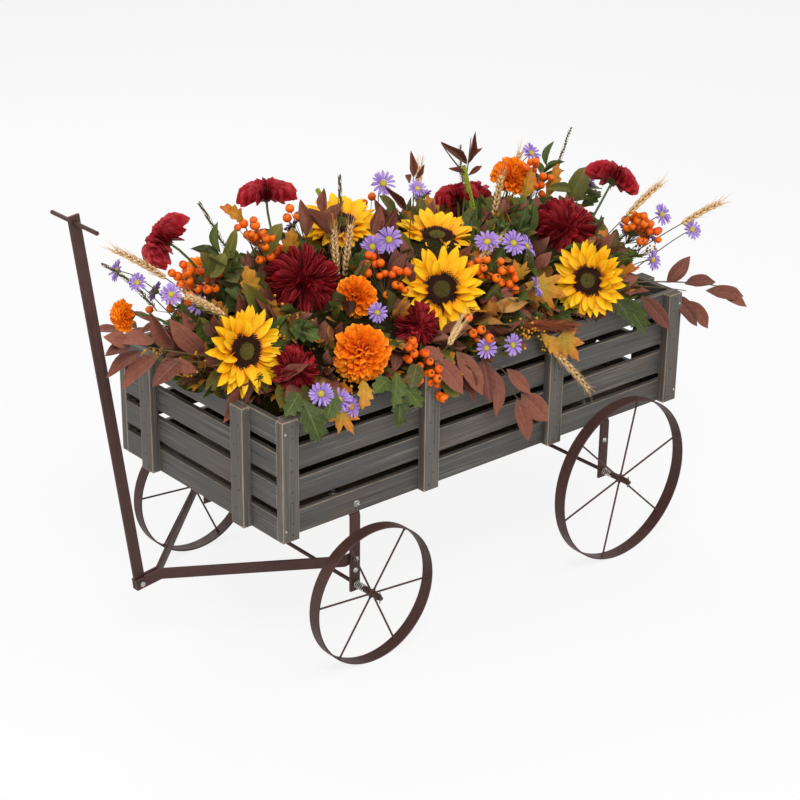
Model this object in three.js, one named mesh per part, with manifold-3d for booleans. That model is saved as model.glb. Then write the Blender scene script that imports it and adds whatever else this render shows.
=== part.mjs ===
// A four-wheeled wooden flower cart: a slatted crate on two strap-iron axle brackets, with a folding
// pull handle, and an autumn flower arrangement that lifts out. Millimetres, +Z up, ground at z = 0.
// The handle points towards -X. Seen from someone pulling the cart, -Y is the left side.
import * as THREE from "three";
import { mergeVertices } from "three/addons/utils/BufferGeometryUtils.js";
import Module from "manifold-3d";

const wasm = await Module();
wasm.setup();

// ---------- driving dimensions ----------

const crateLength = 1060; // over the outer faces of the end slats
const crateWidth = 497; // over the outer faces of the side slats
const crateBottom = 300; // ground to the underside of the crate
const slatHeight = 48;
const slatGap = 18;
const slatThickness = 12;
const slatRows = 4;
const battenWidth = 38;
const battenThickness = 19;
const sideBattenOffset = 167; // crate centre to the middle of an inner side batten
const endBattenOffset = 151; // crate centre to the middle of an end batten
const floorBoards = 3;
const floorThickness = 12;
const floorGap = 3;

const strapWidth = 23; // all the flat bar of the running gear
const strapThickness = 5;
const bracketWidth = 492; // over the outer faces of the legs
const bracketBendRadius = 9;
const legBelowAxle = 16;
const axleOffset = 340; // crate centre to each axle
const axleDiameter = 8;
const boreClearance = 0.3; // round every rod, bolt and rivet

const frontWheelRadius = 143;
const rearWheelRadius = 179;
const halfTrack = 297; // cart centre to the middle of a wheel's band
const bandWidth = 28;
const bandThickness = 3;
const spokeCount = 6;
const spokeDiameter = 4;
const frontSpokePhase = -5; // degrees from +X
const rearSpokePhase = 17;
const hubDiameter = 13;
const hubLength = 44;
const cotterDiameter = 2.2;
const cotterLength = 24;
const axleTail = 5; // axle beyond the cotter pin

const springWire = 1.8;
const springDiameter = 15; // over the wire
const springCurls = 5;

const tonguePivotDrop = 102; // crate underside to the tongue bolts
const tongueLength = 338; // tongue bolts to the handle bolt
const tongueTilt = 7; // degrees that the nose hangs down
const noseStraight = 46; // handle bolt to the bend of each tongue bar
const tongueTab = 22; // tongue bolt to the bend at the leg
const barOverrun = 12; // bar beyond each bolt
const boltDiameter = 6;
const boltHeadWidth = 10; // across the flats
const boltHeadHeight = 4;
const nutHeight = 5;
const boltTail = 3;

const handleLength = 760; // handle bolt to the grip
const handleLean = 7.7; // degrees from upright, away from the crate
const handleTop = 14; // bar above the grip
const gripDiameter = 8;
const gripLength = 148;

const foamLength = 760;
const foamWidth = 330;
const foamHeight = 88;
const moundLength = 1120;
const moundWidth = 520;
const moundHeight = 175; // above the rim
const rimClearance = 1.5; // flowers above the top of the slats
const plugInset = 12; // mound inside the crate, off the slats
const plugTaper = 0.8; // its foot on the foam, as a share of its top
const stemDiameter = 5;
const stemDepth = 10; // of a stem's foot below the rim
const socketClearance = 0.4;
const headDiameters = { sunflower: 150, mum: 120, marigold: 112, aster: 46 };
const earLength = 62;
const earWidth = 16;
const strawDiameter = 3.2;
const leafThickness = 4;
const leafSpread = 0.6; // sideways share of a paired leaf's direction

// ---------- worked out from them ----------

const crateHeight = slatRows * slatHeight + (slatRows - 1) * slatGap;
const rim = crateBottom + crateHeight;
const bore = axleDiameter / 2 + boreClearance;
const boltBore = boltDiameter / 2 + boreClearance;
const legFace = bracketWidth / 2;
const hubInner = halfTrack - hubLength / 2;
const hubOuter = halfTrack + hubLength / 2;
const radians = THREE.MathUtils.degToRad;

// ---------- finishes ----------

const finish = (color, roughness, metalness) => ({ color, roughness, metalness });
const greyWood = finish(0x5f6261, 0.75, 0);
const darkWood = finish(0x4b4d4c, 0.8, 0);
const brownIron = finish(0x4b3631, 0.55, 0.6);
const zinc = finish(0xb9bcbf, 0.35, 0.9);
const foam = finish(0x54583a, 0.95, 0);
const leaves = finish(0x6a6a35, 0.8, 0);
const sunYellow = finish(0xf2b90f, 0.7, 0);
const burgundy = finish(0x7d1522, 0.7, 0);
const reddish = finish(0x7a4038, 0.75, 0);

// ---------- solids ----------

function solid(geometry) {
  const bare = geometry.clone();
  bare.deleteAttribute("normal");
  bare.deleteAttribute("uv");
  const merged = mergeVertices(bare, 1e-3);
  return new wasm.Manifold(
    new wasm.Mesh({
      numProp: 3,
      vertProperties: merged.attributes.position.array,
      triVerts: new Uint32Array(merged.index.array),
    }),
  );
}

function geometryOf(manifold) {
  const { vertProperties, triVerts } = manifold.getMesh();
  const geometry = new THREE.BufferGeometry();
  geometry.setAttribute("position", new THREE.BufferAttribute(vertProperties, 3));
  geometry.setIndex(new THREE.BufferAttribute(triVerts, 1));
  return geometry;
}

const join = (geometries) => geometries.map(solid).reduce((whole, piece) => whole.add(piece));
const cut = (manifold, tools) => tools.map(solid).reduce((rest, tool) => rest.subtract(tool), manifold);

function mesh(name, geometry, look) {
  const piece = new THREE.Mesh(geometry, new THREE.MeshStandardMaterial(look));
  piece.name = name;
  return piece;
}

function boxMesh(name, size, centre, look) {
  const piece = mesh(name, new THREE.BoxGeometry(...size), look);
  piece.position.set(...centre);
  return piece;
}

// A round rod between two points. Its sides meet its ends at the given radius.
function rod(from, to, radius, sides) {
  const a = new THREE.Vector3(...from);
  const b = new THREE.Vector3(...to);
  const along = b.clone().sub(a);
  const geometry = new THREE.CylinderGeometry(radius, radius, along.length(), sides);
  const up = THREE.Object3D.DEFAULT_UP;
  geometry.applyQuaternion(new THREE.Quaternion().setFromUnitVectors(up, along.normalize()));
  return geometry.translate(...a.add(b).divideScalar(2));
}

// A solid turned about Z from a profile of [radius, height].
const turned = (profile, segments) =>
  new THREE.LatheGeometry(profile.map(([r, z]) => new THREE.Vector2(r, z)), segments).rotateX(Math.PI / 2);

const rodAlongY = (x, z, yFrom, yTo, radius, sides) => rod([x, yFrom, z], [x, yTo, z], radius, sides);

// The outline of a strap bent along a flat path, with mitred bends.
function strapOutline(path, thickness) {
  const points = path.map(([x, y]) => new THREE.Vector2(x, y));
  const normals = points.slice(1).map((p, i) => {
    const along = p.clone().sub(points[i]).normalize();
    return new THREE.Vector2(-along.y, along.x);
  });
  const edge = (side) =>
    points.map((p, i) => {
      const before = normals[Math.max(i - 1, 0)];
      const after = normals[Math.min(i, normals.length - 1)];
      const mitre = before.clone().add(after).normalize();
      return p.clone().addScaledVector(mitre, (side * thickness) / 2 / mitre.dot(after));
    });
  return new THREE.Shape([...edge(1), ...edge(-1).reverse()]);
}

function strap(path, width) {
  const outline = strapOutline(path, strapThickness);
  const extrusion = { depth: width, bevelEnabled: false };
  return new THREE.ExtrudeGeometry(outline, extrusion).translate(0, 0, -width / 2);
}

// ---------- crate ----------

function crate() {
  const group = new THREE.Group();
  const innerLength = crateLength - 2 * slatThickness;
  const innerWidth = crateWidth - 2 * slatThickness;
  const middle = crateBottom + crateHeight / 2;
  const rowHeight = (i) => crateBottom + slatHeight / 2 + i * (slatHeight + slatGap);
  const rows = Array.from({ length: slatRows }, (_, i) => rowHeight(i));
  for (const [side, ySign] of [["left", -1], ["right", 1]]) {
    const y = ySign * (crateWidth - slatThickness) / 2;
    rows.forEach((z, i) => {
      const size = [innerLength, slatThickness, slatHeight];
      group.add(boxMesh(`${side}_slat_${i + 1}`, size, [0, y, z], greyWood));
    });
    const battenY = ySign * (crateWidth + battenThickness) / 2;
    const corner = (crateLength - battenWidth) / 2;
    [-corner, -sideBattenOffset, sideBattenOffset, corner].forEach((x, i) => {
      const size = [battenWidth, battenThickness, crateHeight];
      group.add(boxMesh(`${side}_batten_${i + 1}`, size, [x, battenY, middle], greyWood));
    });
  }
  for (const [end, xSign] of [["front", -1], ["rear", 1]]) {
    const x = xSign * (crateLength - slatThickness) / 2;
    rows.forEach((z, i) => {
      const size = [slatThickness, crateWidth, slatHeight];
      group.add(boxMesh(`${end}_slat_${i + 1}`, size, [x, 0, z], greyWood));
    });
    const battenX = xSign * (crateLength + battenThickness) / 2;
    [-endBattenOffset, endBattenOffset].forEach((y, i) => {
      const size = [battenThickness, battenWidth, crateHeight];
      group.add(boxMesh(`${end}_batten_${i + 1}`, size, [battenX, y, middle], greyWood));
    });
  }
  const boardWidth = (innerWidth - (floorBoards - 1) * floorGap) / floorBoards;
  for (let i = 0; i < floorBoards; i++) {
    const y = -innerWidth / 2 + boardWidth / 2 + i * (boardWidth + floorGap);
    const size = [innerLength, boardWidth, floorThickness];
    group.add(boxMesh(`floor_board_${i + 1}`, size, [0, y, crateBottom + floorThickness / 2], darkWood));
  }
  return group;
}

// ---------- running gear ----------

// An inverted U of flat bar: its top bolts up under the floor, its legs carry the axle.
function bracketMesh(name, x, axleZ, holes) {
  const legY = legFace - strapThickness / 2;
  const top = crateBottom - strapThickness / 2;
  const bend = [0, 30, 60, 90].map((degrees) => {
    const a = radians(degrees);
    const corner = bracketBendRadius;
    return [legY - corner + corner * Math.cos(a), top - corner + corner * Math.sin(a)];
  });
  const half = [[legY, axleZ - legBelowAxle], ...bend];
  const path = [...half, ...half.map(([y, z]) => [-y, z]).reverse()];
  const shape = strap(path, strapWidth);
  const yzx = new THREE.Matrix4().makeBasis(
    new THREE.Vector3(0, 1, 0),
    new THREE.Vector3(0, 0, 1),
    new THREE.Vector3(1, 0, 0),
  );
  shape.applyMatrix4(yzx).translate(x, 0, 0);
  const drills = holes.map(([z, radius]) => rodAlongY(x, z, -bracketWidth, bracketWidth, radius, 24));
  return mesh(name, geometryOf(cut(solid(shape), drills)), brownIron);
}

// An axle rod with a cotter pin through each end.
function axleMesh(name, x, z) {
  const cotterY = hubOuter + boreClearance + cotterDiameter / 2;
  const end = cotterY + axleTail;
  const pins = [-cotterY, cotterY].map((y) =>
    rod([x, y, z - cotterLength / 2], [x, y, z + cotterLength / 2], cotterDiameter / 2, 8),
  );
  const whole = join([rodAlongY(x, z, -end, end, axleDiameter / 2, 24), ...pins]);
  return mesh(name, geometryOf(whole), brownIron);
}

// A band of flat iron, rod spokes and a tube hub, welded into one piece. It turns about Y.
function wheelMesh(name, radius, phase) {
  const inner = radius - bandThickness;
  const half = bandWidth / 2;
  const ring = [[inner, -half], [radius, -half], [radius, half], [inner, half], [inner, -half]];
  const hubTube = [
    [bore, -hubLength / 2],
    [hubDiameter / 2, -hubLength / 2],
    [hubDiameter / 2, hubLength / 2],
    [bore, hubLength / 2],
    [bore, -hubLength / 2],
  ];
  const spokes = Array.from({ length: spokeCount }, (_, i) => {
    const a = radians(phase + (i * 360) / spokeCount);
    const at = (r) => [r * Math.cos(a), 0, r * Math.sin(a)];
    return rod(at((bore + hubDiameter / 2) / 2), at(radius - bandThickness / 2), spokeDiameter / 2, 6);
  });
  const rounds = [turned(ring, 48), turned(hubTube, 16)].map((part) => part.rotateX(-Math.PI / 2));
  return mesh(name, geometryOf(join([...rounds, ...spokes])), brownIron);
}

const circlePoints = (radius, sides) =>
  Array.from({ length: sides }, (_, i) => {
    const a = (i * 2 * Math.PI) / sides;
    return new THREE.Vector2(radius * Math.cos(a), radius * Math.sin(a));
  });

// The least gap between curls a full turn apart, measured on the points of the path.
function leastGap(points, turnSteps, wire) {
  let least = Infinity;
  points.forEach((p, i) => {
    points.slice(i + turnSteps - 2).forEach((q) => {
      least = Math.min(least, p.distanceTo(q) - wire);
    });
  });
  return least;
}

// A coil spring on the axle between leg and hub. Its ends run straight for one wire diameter.
function springGeometry(length) {
  const stepsPerCurl = 8;
  const radius = (springDiameter - springWire) / 2;
  const rise = length - 2 * springWire;
  const steps = springCurls * stepsPerCurl;
  const points = [new THREE.Vector3(radius, 0, 0)];
  for (let i = 0; i <= steps; i++) {
    const a = (i / stepsPerCurl) * 2 * Math.PI;
    const y = springWire + (rise * i) / steps;
    points.push(new THREE.Vector3(radius * Math.cos(a), y, radius * Math.sin(a)));
  }
  points.push(points.at(-1).clone().setY(length));
  console.log(`spring, least gap between curls: ${leastGap(points, stepsPerCurl, springWire).toFixed(2)} mm`);
  const path = new THREE.CatmullRomCurve3(points, false, "centripetal");
  const wire = new THREE.Shape(circlePoints(springWire / 2, 5));
  return new THREE.ExtrudeGeometry(wire, { steps: points.length - 1, extrudePath: path });
}

function runningGear() {
  const group = new THREE.Group();
  const pivotZ = crateBottom - tonguePivotDrop;
  const pairs = [
    ["front", -axleOffset, frontWheelRadius, frontSpokePhase, [[pivotZ, boltBore]]],
    ["rear", axleOffset, rearWheelRadius, rearSpokePhase, []],
  ];
  const springLength = hubInner - legFace - 2 * boreClearance;
  for (const [end, x, radius, phase, boltHoles] of pairs) {
    group.add(bracketMesh(`${end}_bracket`, x, radius, [[radius, bore], ...boltHoles]));
    group.add(axleMesh(`${end}_axle`, x, radius));
    for (const [side, ySign] of [["left", -1], ["right", 1]]) {
      const wheel = wheelMesh(`${end}_${side}_wheel`, radius, phase);
      wheel.position.set(x, ySign * halfTrack, radius);
      const spring = mesh(`${end}_${side}_spring`, springGeometry(springLength), zinc);
      spring.position.set(x, ySign * (legFace + boreClearance), radius);
      spring.rotation.x = ySign < 0 ? Math.PI : 0;
      group.add(wheel, spring);
    }
  }
  return group;
}

// ---------- tongue and handle ----------

// A bolt along Y with its washer and nut on. The grip is what lies between head and washer.
function boltGeometry(gripFrom, gripTo) {
  const outward = Math.sign(gripFrom - gripTo);
  const hexRadius = boltHeadWidth / Math.sqrt(3);
  const seat = gripFrom + outward * boreClearance;
  const headTop = seat + outward * boltHeadHeight;
  const nutSeat = gripTo - outward * boreClearance;
  const tail = nutSeat - outward * (nutHeight + boltTail);
  return geometryOf(
    join([
      rodAlongY(0, 0, (seat + headTop) / 2, tail, boltDiameter / 2, 20),
      rodAlongY(0, 0, seat, headTop, hexRadius, 6),
      rodAlongY(0, 0, nutSeat, nutSeat - outward * nutHeight, hexRadius, 6),
    ]),
  );
}

// One strap of the V-shaped tongue, in the tongue's own plane, with the tongue bolts at the origin.
function tongueBarMesh(name, ySign, handleHalf) {
  const atLeg = ySign * (legFace - strapThickness * 1.5 - boreClearance);
  const atNose = ySign * (handleHalf + boreClearance + strapThickness / 2);
  const path = [
    [barOverrun, atLeg],
    [-tongueTab, atLeg],
    [-tongueLength + noseStraight, atNose],
    [-tongueLength - barOverrun, atNose],
  ];
  const drills = [0, -tongueLength].map((x) => rodAlongY(x, 0, -bracketWidth, bracketWidth, boltBore, 20));
  return mesh(name, geometryOf(cut(solid(strap(path, strapWidth)), drills)), brownIron);
}

function pullGear() {
  const tongue = new THREE.Group();
  const handleHalf = strapThickness / 2;
  tongue.position.set(-axleOffset, 0, crateBottom - tonguePivotDrop);
  tongue.rotation.y = radians(-tongueTilt);
  for (const [side, ySign] of [["left", -1], ["right", 1]]) {
    tongue.add(tongueBarMesh(`tongue_${side}_bar`, ySign, handleHalf));
    const legInside = ySign * (legFace - 2 * strapThickness - boreClearance);
    tongue.add(mesh(`tongue_${side}_bolt`, boltGeometry(ySign * legFace, legInside), zinc));
  }
  const handle = new THREE.Group();
  handle.position.set(-tongueLength, 0, 0);
  handle.rotation.y = radians(tongueTilt - handleLean);
  const barLength = barOverrun + handleLength + handleTop;
  const bar = new THREE.BoxGeometry(strapWidth, strapThickness, barLength);
  bar.translate(0, 0, barLength / 2 - barOverrun);
  const gripHole = rodAlongY(0, handleLength, -bandWidth, bandWidth, gripDiameter / 2 + boreClearance, 20);
  const boltHole = rodAlongY(0, 0, -bandWidth, bandWidth, boltBore, 20);
  handle.add(mesh("handle_bar", geometryOf(cut(solid(bar), [gripHole, boltHole])), brownIron));
  const grip = rodAlongY(0, handleLength, -gripLength / 2, gripLength / 2, gripDiameter / 2, 20);
  handle.add(mesh("handle_grip", grip, brownIron));
  const noseFace = handleHalf + boreClearance + strapThickness;
  tongue.add(handle);
  const noseBolt = mesh("handle_bolt", boltGeometry(-noseFace, noseFace), zinc);
  noseBolt.position.set(-tongueLength, 0, 0);
  tongue.add(noseBolt);
  return tongue;
}

// ---------- flowers ----------

// Places are in percent of the mound: of its half length along X, of its half width along Y, and of its
// height above the rim. Heads are listed as [kind, x, y, height, size in percent, direction that it faces].
const pickedHeads = [
  ["sunflower", -90, -42, 49, 108, [0, -1, 0.25]],
  ["sunflower", -23, 25, 108, 104, [-0.2, -0.3, 1]],
  ["sunflower", 14, 4, 76, 112, [-0.1, -0.2, 1]],
  ["sunflower", -7, -54, 58, 110, [-0.6, -0.8, 0.55]],
  ["sunflower", 49, -96, 46, 107, [-1, -0.6, 0.3]],
  ["mum", -52, -8, 80, 125, [-0.5, -0.8, 0.6]],
  ["mum", 66, -23, 64, 121, [-0.3, -0.8, 0.6]],
];

const clusterHeads = [
  ["mum", -44, 58, 146, 100, [0.1, 0.2, 1]],
  ["mum", -88, 50, 129, 100, [-0.7, 0.4, 0.55]],
  ["mum", -27, -75, 42, 75, [-0.4, -0.9, 0.3]],
  ["mum", 89, -29, 113, 100, [0.6, 0, 0.8]],
  ["mum", -77, -67, 29, 75, [-0.3, -0.9, 0.3]],
  ["mum", 38, 37, 100, 83, [0, 0.3, 1]],
  ["mum", -11, 79, 54, 100, [0, 1, 0.5]],
  ["mum", 59, 73, 63, 100, [0.3, 1, 0.5]],
  ["marigold", -54, -79, 35, 104, [-0.4, -0.9, 0.3]],
  ["marigold", -40, -38, 67, 86, [-0.5, -0.7, 0.5]],
  ["marigold", 65, 37, 103, 98, [-0.2, -0.5, 0.9]],
  ["marigold", 97, -38, 49, 80, [0.6, -0.5, 0.5]],
  ["marigold", -106, 46, 62, 67, [-1, 0.1, 0.1]],
  ["marigold", -63, 79, 51, 104, [-0.2, 1, 0.4]],
  ["marigold", 21, 81, 47, 104, [0.1, 1, 0.4]],
  ["aster", -108, 54, 110, 100, [-0.9, 0.2, 0.3]],
  ["aster", 2, 38, 143, 100, [-0.3, -0.8, 0.5]],
  ["aster", 76, 38, 134, 100, [0.6, -0.4, 0.7]],
  ["aster", 101, -62, 77, 100, [0.8, -0.5, 0.4]],
  ["aster", 111, -77, 46, 100, [0.7, -0.6, 0.4]],
  ["aster", -78, -101, 19, 96, [-0.5, -0.8, 0.3]],
  ["aster", 89, 65, 69, 100, [0.6, 0.6, 0.5]],
];

// Sprays of lance-shaped leaves: three places along the stem, leaf length, leaf width, pairs of leaves.
// The leaves grow on the last stretch of the stem.
const hanging = new THREE.Vector3(0, -0.5, -0.85);
const frontSpray = [[[-75, -12, 11], [-100, -31, 57], [-137, -44, 96]], 90, 26, 2];
const sprays = [
  [[[-71, -15, 6], [-100, -35, 23], [-121, -58, 17]], 90, 26, 1],
  [[[-75, 46, 11], [-93, 58, 34], [-116, 85, 23]], 90, 26, 1],
  [[[71, -50, 11], [96, -83, 26], [141, -101, -23]], 84, 22, 2],
  [[[71, -23, 11], [100, -31, 34], [125, -42, -11]], 84, 24, 1],
  [[[71, 46, 11], [93, 62, 34], [118, 83, 17]], 84, 24, 1],
  [[[-11, -50, 17], [-9, -108, 21], [-2, -117, -60]], 84, 28, 1],
  [[[7, -50, 17], [10, -108, 21], [17, -117, -80]], 84, 30, 1],
  [[[-45, -50, 17], [-47, -108, 21], [-46, -117, -35]], 84, 26, 1],
  [[[-75, -50, 11], [-83, -108, 19], [-85, -117, -33]], 80, 26, 1],
  [[[64, -50, 11], [71, -108, 19], [73, -117, -29]], 80, 26, 1],
  [[[-27, 50, 17], [-29, 108, 21], [-33, 117, -35]], 84, 26, 1],
  [[[39, 50, 17], [42, 108, 21], [46, 117, -40]], 84, 30, 1],
  [[[16, 38, 34], [17, 38, 105], [15, 38, 166]], 70, 18, 1],
  [[[36, 23, 34], [38, 27, 114], [40, 31, 178]], 70, 18, 1],
  [[[-68, 23, 34], [-72, 23, 126], [-84, 23, 178]], 60, 14, 1],
  [[[68, 27, 34], [79, 27, 94], [90, 27, 153]], 60, 14, 1],
];

// Ears of wheat: foot and tip.
const ears = [
  [[-75, 31, 34], [-107, 46, 131]],
  [[-71, -12, 40], [-104, -23, 110]],
  [[-32, -8, 34], [-32, -12, 130]],
  [[-38, -8, 34], [-40, -12, 127]],
  [[41, 8, 34], [47, 8, 123]],
  [[0, -58, 34], [24, -46, 93]],
  [[64, -46, 34], [98, -58, 110]],
  [[71, -50, 23], [125, -77, 74]],
];

const onMound = ([x, y, height]) =>
  new THREE.Vector3((x * moundLength) / 200, (y * moundWidth) / 200, rim + (height * moundHeight) / 100);

// Turns a shape that faces +Z to face a direction.
function aim(geometry, direction) {
  const to = new THREE.Vector3(...direction).normalize();
  return geometry.applyQuaternion(new THREE.Quaternion().setFromUnitVectors(new THREE.Vector3(0, 0, 1), to));
}

// Flower heads face +Z, with the top of the stem at the origin.
const headShapes = {
  sunflower(diameter) {
    const petals = 12;
    const tips = Array.from({ length: 2 * petals }, (_, i) => {
      const reach = i % 2 ? diameter * 0.36 : diameter / 2;
      const a = (i * Math.PI) / petals;
      return new THREE.Vector2(reach * Math.cos(a), reach * Math.sin(a));
    });
    const blades = new THREE.ExtrudeGeometry(new THREE.Shape(tips), { depth: 7, bevelEnabled: false });
    const disc = turned([[0, 12], [diameter * 0.18, 12], [diameter * 0.16, 22], [0, 24]], 10);
    const cup = turned([[0, -2], [stemDiameter / 2, -2], [diameter * 0.16, 12], [0, 12]], 8);
    return [blades.translate(0, 0, 9), disc, cup];
  },
  mum(diameter) {
    const r = diameter / 2;
    return [turned([[0, -2], [0.4 * r, 0], [r, 0.3 * r], [0.8 * r, 0.65 * r], [0, 0.9 * r]], 10)];
  },
  marigold(diameter) {
    const r = diameter / 2;
    return [turned([[0, -2], [0.7 * r, 0.15 * r], [r, 0.6 * r], [0.7 * r, 1.05 * r], [0, 1.2 * r]], 8)];
  },
  aster: (diameter) => [turned([[0, -2], [diameter / 2, 4], [0, 9]], 7)],
};

// The space cut in the leaves round a picked head, as plain round shapes a little larger than it.
const socketShapes = {
  sunflower: (diameter) => {
    const r = (diameter / 2 + socketClearance) / Math.cos(Math.PI / 12);
    const back = 9 - socketClearance;
    const cup = diameter * 0.18 + socketClearance;
    return [turned([[0, -3], [cup * 0.6, -3], [cup, back], [r, back], [r, 60], [0, 60]], 12)];
  },
  mum: (diameter) => {
    const r = diameter / 2 + 3 * socketClearance;
    return [turned([[0, -4], [0.45 * r, -3], [r, 0.25 * r], [r, 60], [0, 60]], 10)];
  },
};

// A head on its stem, which runs down into the leaves.
function flower([kind, x, y, height, size, direction], shapes, clearance) {
  const diameter = (headDiameters[kind] * size) / 100;
  const top = onMound([x, y, height]);
  const root = new THREE.Vector3(top.x * 0.65, top.y * 0.5, rim - stemDepth);
  root.addScaledVector(root.clone().sub(top).normalize(), clearance);
  const head = shapes[kind](diameter).map((part) => aim(part, direction).translate(...top.toArray()));
  return join([...head, rod(root.toArray(), top.toArray(), stemDiameter / 2 + clearance, 5)]);
}

// A leaf is a flat double pyramid from its foot along a direction.
function leafGeometry(foot, direction, length, width) {
  const leaf = new THREE.OctahedronGeometry(1).scale(width / 2, leafThickness / 2, length / 2);
  leaf.translate(0, 0, length / 2 - stemDiameter);
  return aim(leaf, direction.toArray()).translate(...foot.toArray());
}

const stemTo = (a, b, radius) => rod(a.toArray(), b.toArray(), radius, 5);

function spray([stemPoints, leafLength, leafWidth, pairs], sideways) {
  const [a, b, c] = stemPoints.map(onMound);
  const along = c.clone().sub(b).normalize();
  const level = new THREE.Vector3(-along.y, along.x, 0).normalize();
  const side = sideways ?? (Math.abs(along.z) > 0.8 ? new THREE.Vector3(1, 0, 0) : level);
  const end = c.clone().addScaledVector(along, -leafLength);
  const before = b.clone().addScaledVector(along, -stemDiameter / 2);
  const parts = [stemTo(a, b, stemDiameter / 2)];
  parts.push(stemTo(before, end.clone().addScaledVector(along, 12), stemDiameter / 2));
  parts.push(leafGeometry(end, along, leafLength, leafWidth));
  for (let i = 0; i < pairs; i++) {
    const foot = b.clone().lerp(end, (i + 0.5) / pairs);
    for (const turn of [-1, 1]) {
      const way = along.clone().addScaledVector(side, leafSpread * turn).normalize();
      parts.push(leafGeometry(foot, way, leafLength, leafWidth));
    }
  }
  return join(parts);
}

function ear([from, to]) {
  const a = onMound(from);
  const b = onMound(to);
  const along = b.clone().sub(a).normalize();
  const middle = b.clone().addScaledVector(along, -earLength / 2);
  const husk = new THREE.OctahedronGeometry(1).scale(earWidth / 2, earWidth / 2, earLength / 2);
  aim(husk, along.toArray()).translate(...middle.toArray());
  return join([stemTo(a, middle, strawDiameter / 2), husk]);
}

// The mound of leaves: a dome above the rim on a tapered plug that stands on the foam.
function mound(foamTop) {
  const inside = [crateLength / 2 - slatThickness - plugInset, crateWidth / 2 - slatThickness - plugInset];
  const dome = new THREE.SphereGeometry(1, 18, 10).rotateX(Math.PI / 2);
  dome.scale(moundLength / 2, moundWidth / 2, moundHeight);
  const below = new THREE.BoxGeometry(2 * moundLength, 2 * moundWidth, 2 * moundHeight);
  const cap = cut(solid(dome.translate(0, 0, rim + rimClearance)), [
    below.translate(0, 0, rim + rimClearance - moundHeight),
  ]);
  const plugHeight = rim + 2 * rimClearance - foamTop;
  const plug = new THREE.CylinderGeometry(Math.SQRT2, Math.SQRT2 * plugTaper, 1, 4);
  plug.rotateY(Math.PI / 4).rotateX(Math.PI / 2).scale(inside[0], inside[1], plugHeight);
  plug.translate(0, 0, foamTop + plugHeight / 2);
  return cap.add(solid(plug));
}

function arrangement() {
  const group = new THREE.Group();
  const foamFloor = crateBottom + floorThickness;
  const foamTop = foamFloor + foamHeight;
  const foamCentre = [0, 0, foamFloor + foamHeight / 2];
  group.add(boxMesh("foam_block", [foamLength, foamWidth, foamHeight], foamCentre, foam));
  const clusters = clusterHeads.map((head) => flower(head, headShapes, 0));
  const stems = [...clusters, ...sprays.map((each) => spray(each)), ...ears.map(ear)];
  let mass = stems.reduce((whole, piece) => whole.add(piece), mound(foamTop));
  const counts = { sunflower: 0, mum: 0 };
  for (const head of pickedHeads) {
    const [kind] = head;
    counts[kind] += 1;
    mass = mass.subtract(flower(head, socketShapes, socketClearance));
    const look = kind === "mum" ? burgundy : sunYellow;
    group.add(mesh(`${kind}_${counts[kind]}`, geometryOf(flower(head, headShapes, 0)), look));
  }
  const [foot, bend] = frontSpray[0].map(onMound);
  foot.addScaledVector(foot.clone().sub(bend).normalize(), socketClearance);
  mass = mass.subtract(solid(stemTo(foot, bend, stemDiameter / 2 + socketClearance)));
  group.add(mesh("front_spray", geometryOf(spray(frontSpray, hanging)), reddish));
  group.add(mesh("foliage", geometryOf(mass), leaves));
  return group;
}

const cart = new THREE.Group();
cart.add(crate(), runningGear(), pullGear(), arrangement());

// The origin is the middle of the whole cart's footprint, on the ground.
cart.updateMatrixWorld(true);
const extent = new THREE.Box3().setFromObject(cart, true);
const footprint = extent.getCenter(new THREE.Vector3());
cart.position.set(-footprint.x, -footprint.y, -extent.min.z);

export default cart;
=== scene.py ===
import math
import random

import bmesh
import bpy
import numpy as np
from mathutils import Matrix, Vector


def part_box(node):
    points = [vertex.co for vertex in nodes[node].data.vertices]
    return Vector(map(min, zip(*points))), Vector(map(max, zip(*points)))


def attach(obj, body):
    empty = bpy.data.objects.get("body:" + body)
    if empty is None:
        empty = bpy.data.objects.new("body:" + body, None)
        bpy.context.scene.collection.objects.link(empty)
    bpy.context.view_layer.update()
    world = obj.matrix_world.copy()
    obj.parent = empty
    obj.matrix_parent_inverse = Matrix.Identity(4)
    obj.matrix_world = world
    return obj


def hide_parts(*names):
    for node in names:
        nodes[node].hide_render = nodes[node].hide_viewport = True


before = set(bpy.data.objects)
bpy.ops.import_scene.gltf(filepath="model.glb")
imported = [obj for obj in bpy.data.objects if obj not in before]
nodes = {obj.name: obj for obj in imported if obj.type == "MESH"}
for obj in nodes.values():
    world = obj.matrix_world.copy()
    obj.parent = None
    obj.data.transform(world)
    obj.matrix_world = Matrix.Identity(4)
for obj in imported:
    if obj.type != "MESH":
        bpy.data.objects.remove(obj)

scene = bpy.context.scene
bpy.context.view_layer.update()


class Wire:  # one output of a node, so that shader maths reads as arithmetic
    def __init__(self, graph, socket):
        self.graph = graph
        self.socket = socket

    def maths(self, operation, first, second):
        return self.graph.node("ShaderNodeMath", {"operation": operation}, {0: first, 1: second})

    def __add__(self, other):
        return self.maths("ADD", self, other)

    def __sub__(self, other):
        return self.maths("SUBTRACT", self, other)

    def __mul__(self, other):
        return self.maths("MULTIPLY", self, other)

    def __gt__(self, other):
        return self.maths("GREATER_THAN", self, other)

    __radd__ = __add__
    __rmul__ = __mul__


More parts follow.
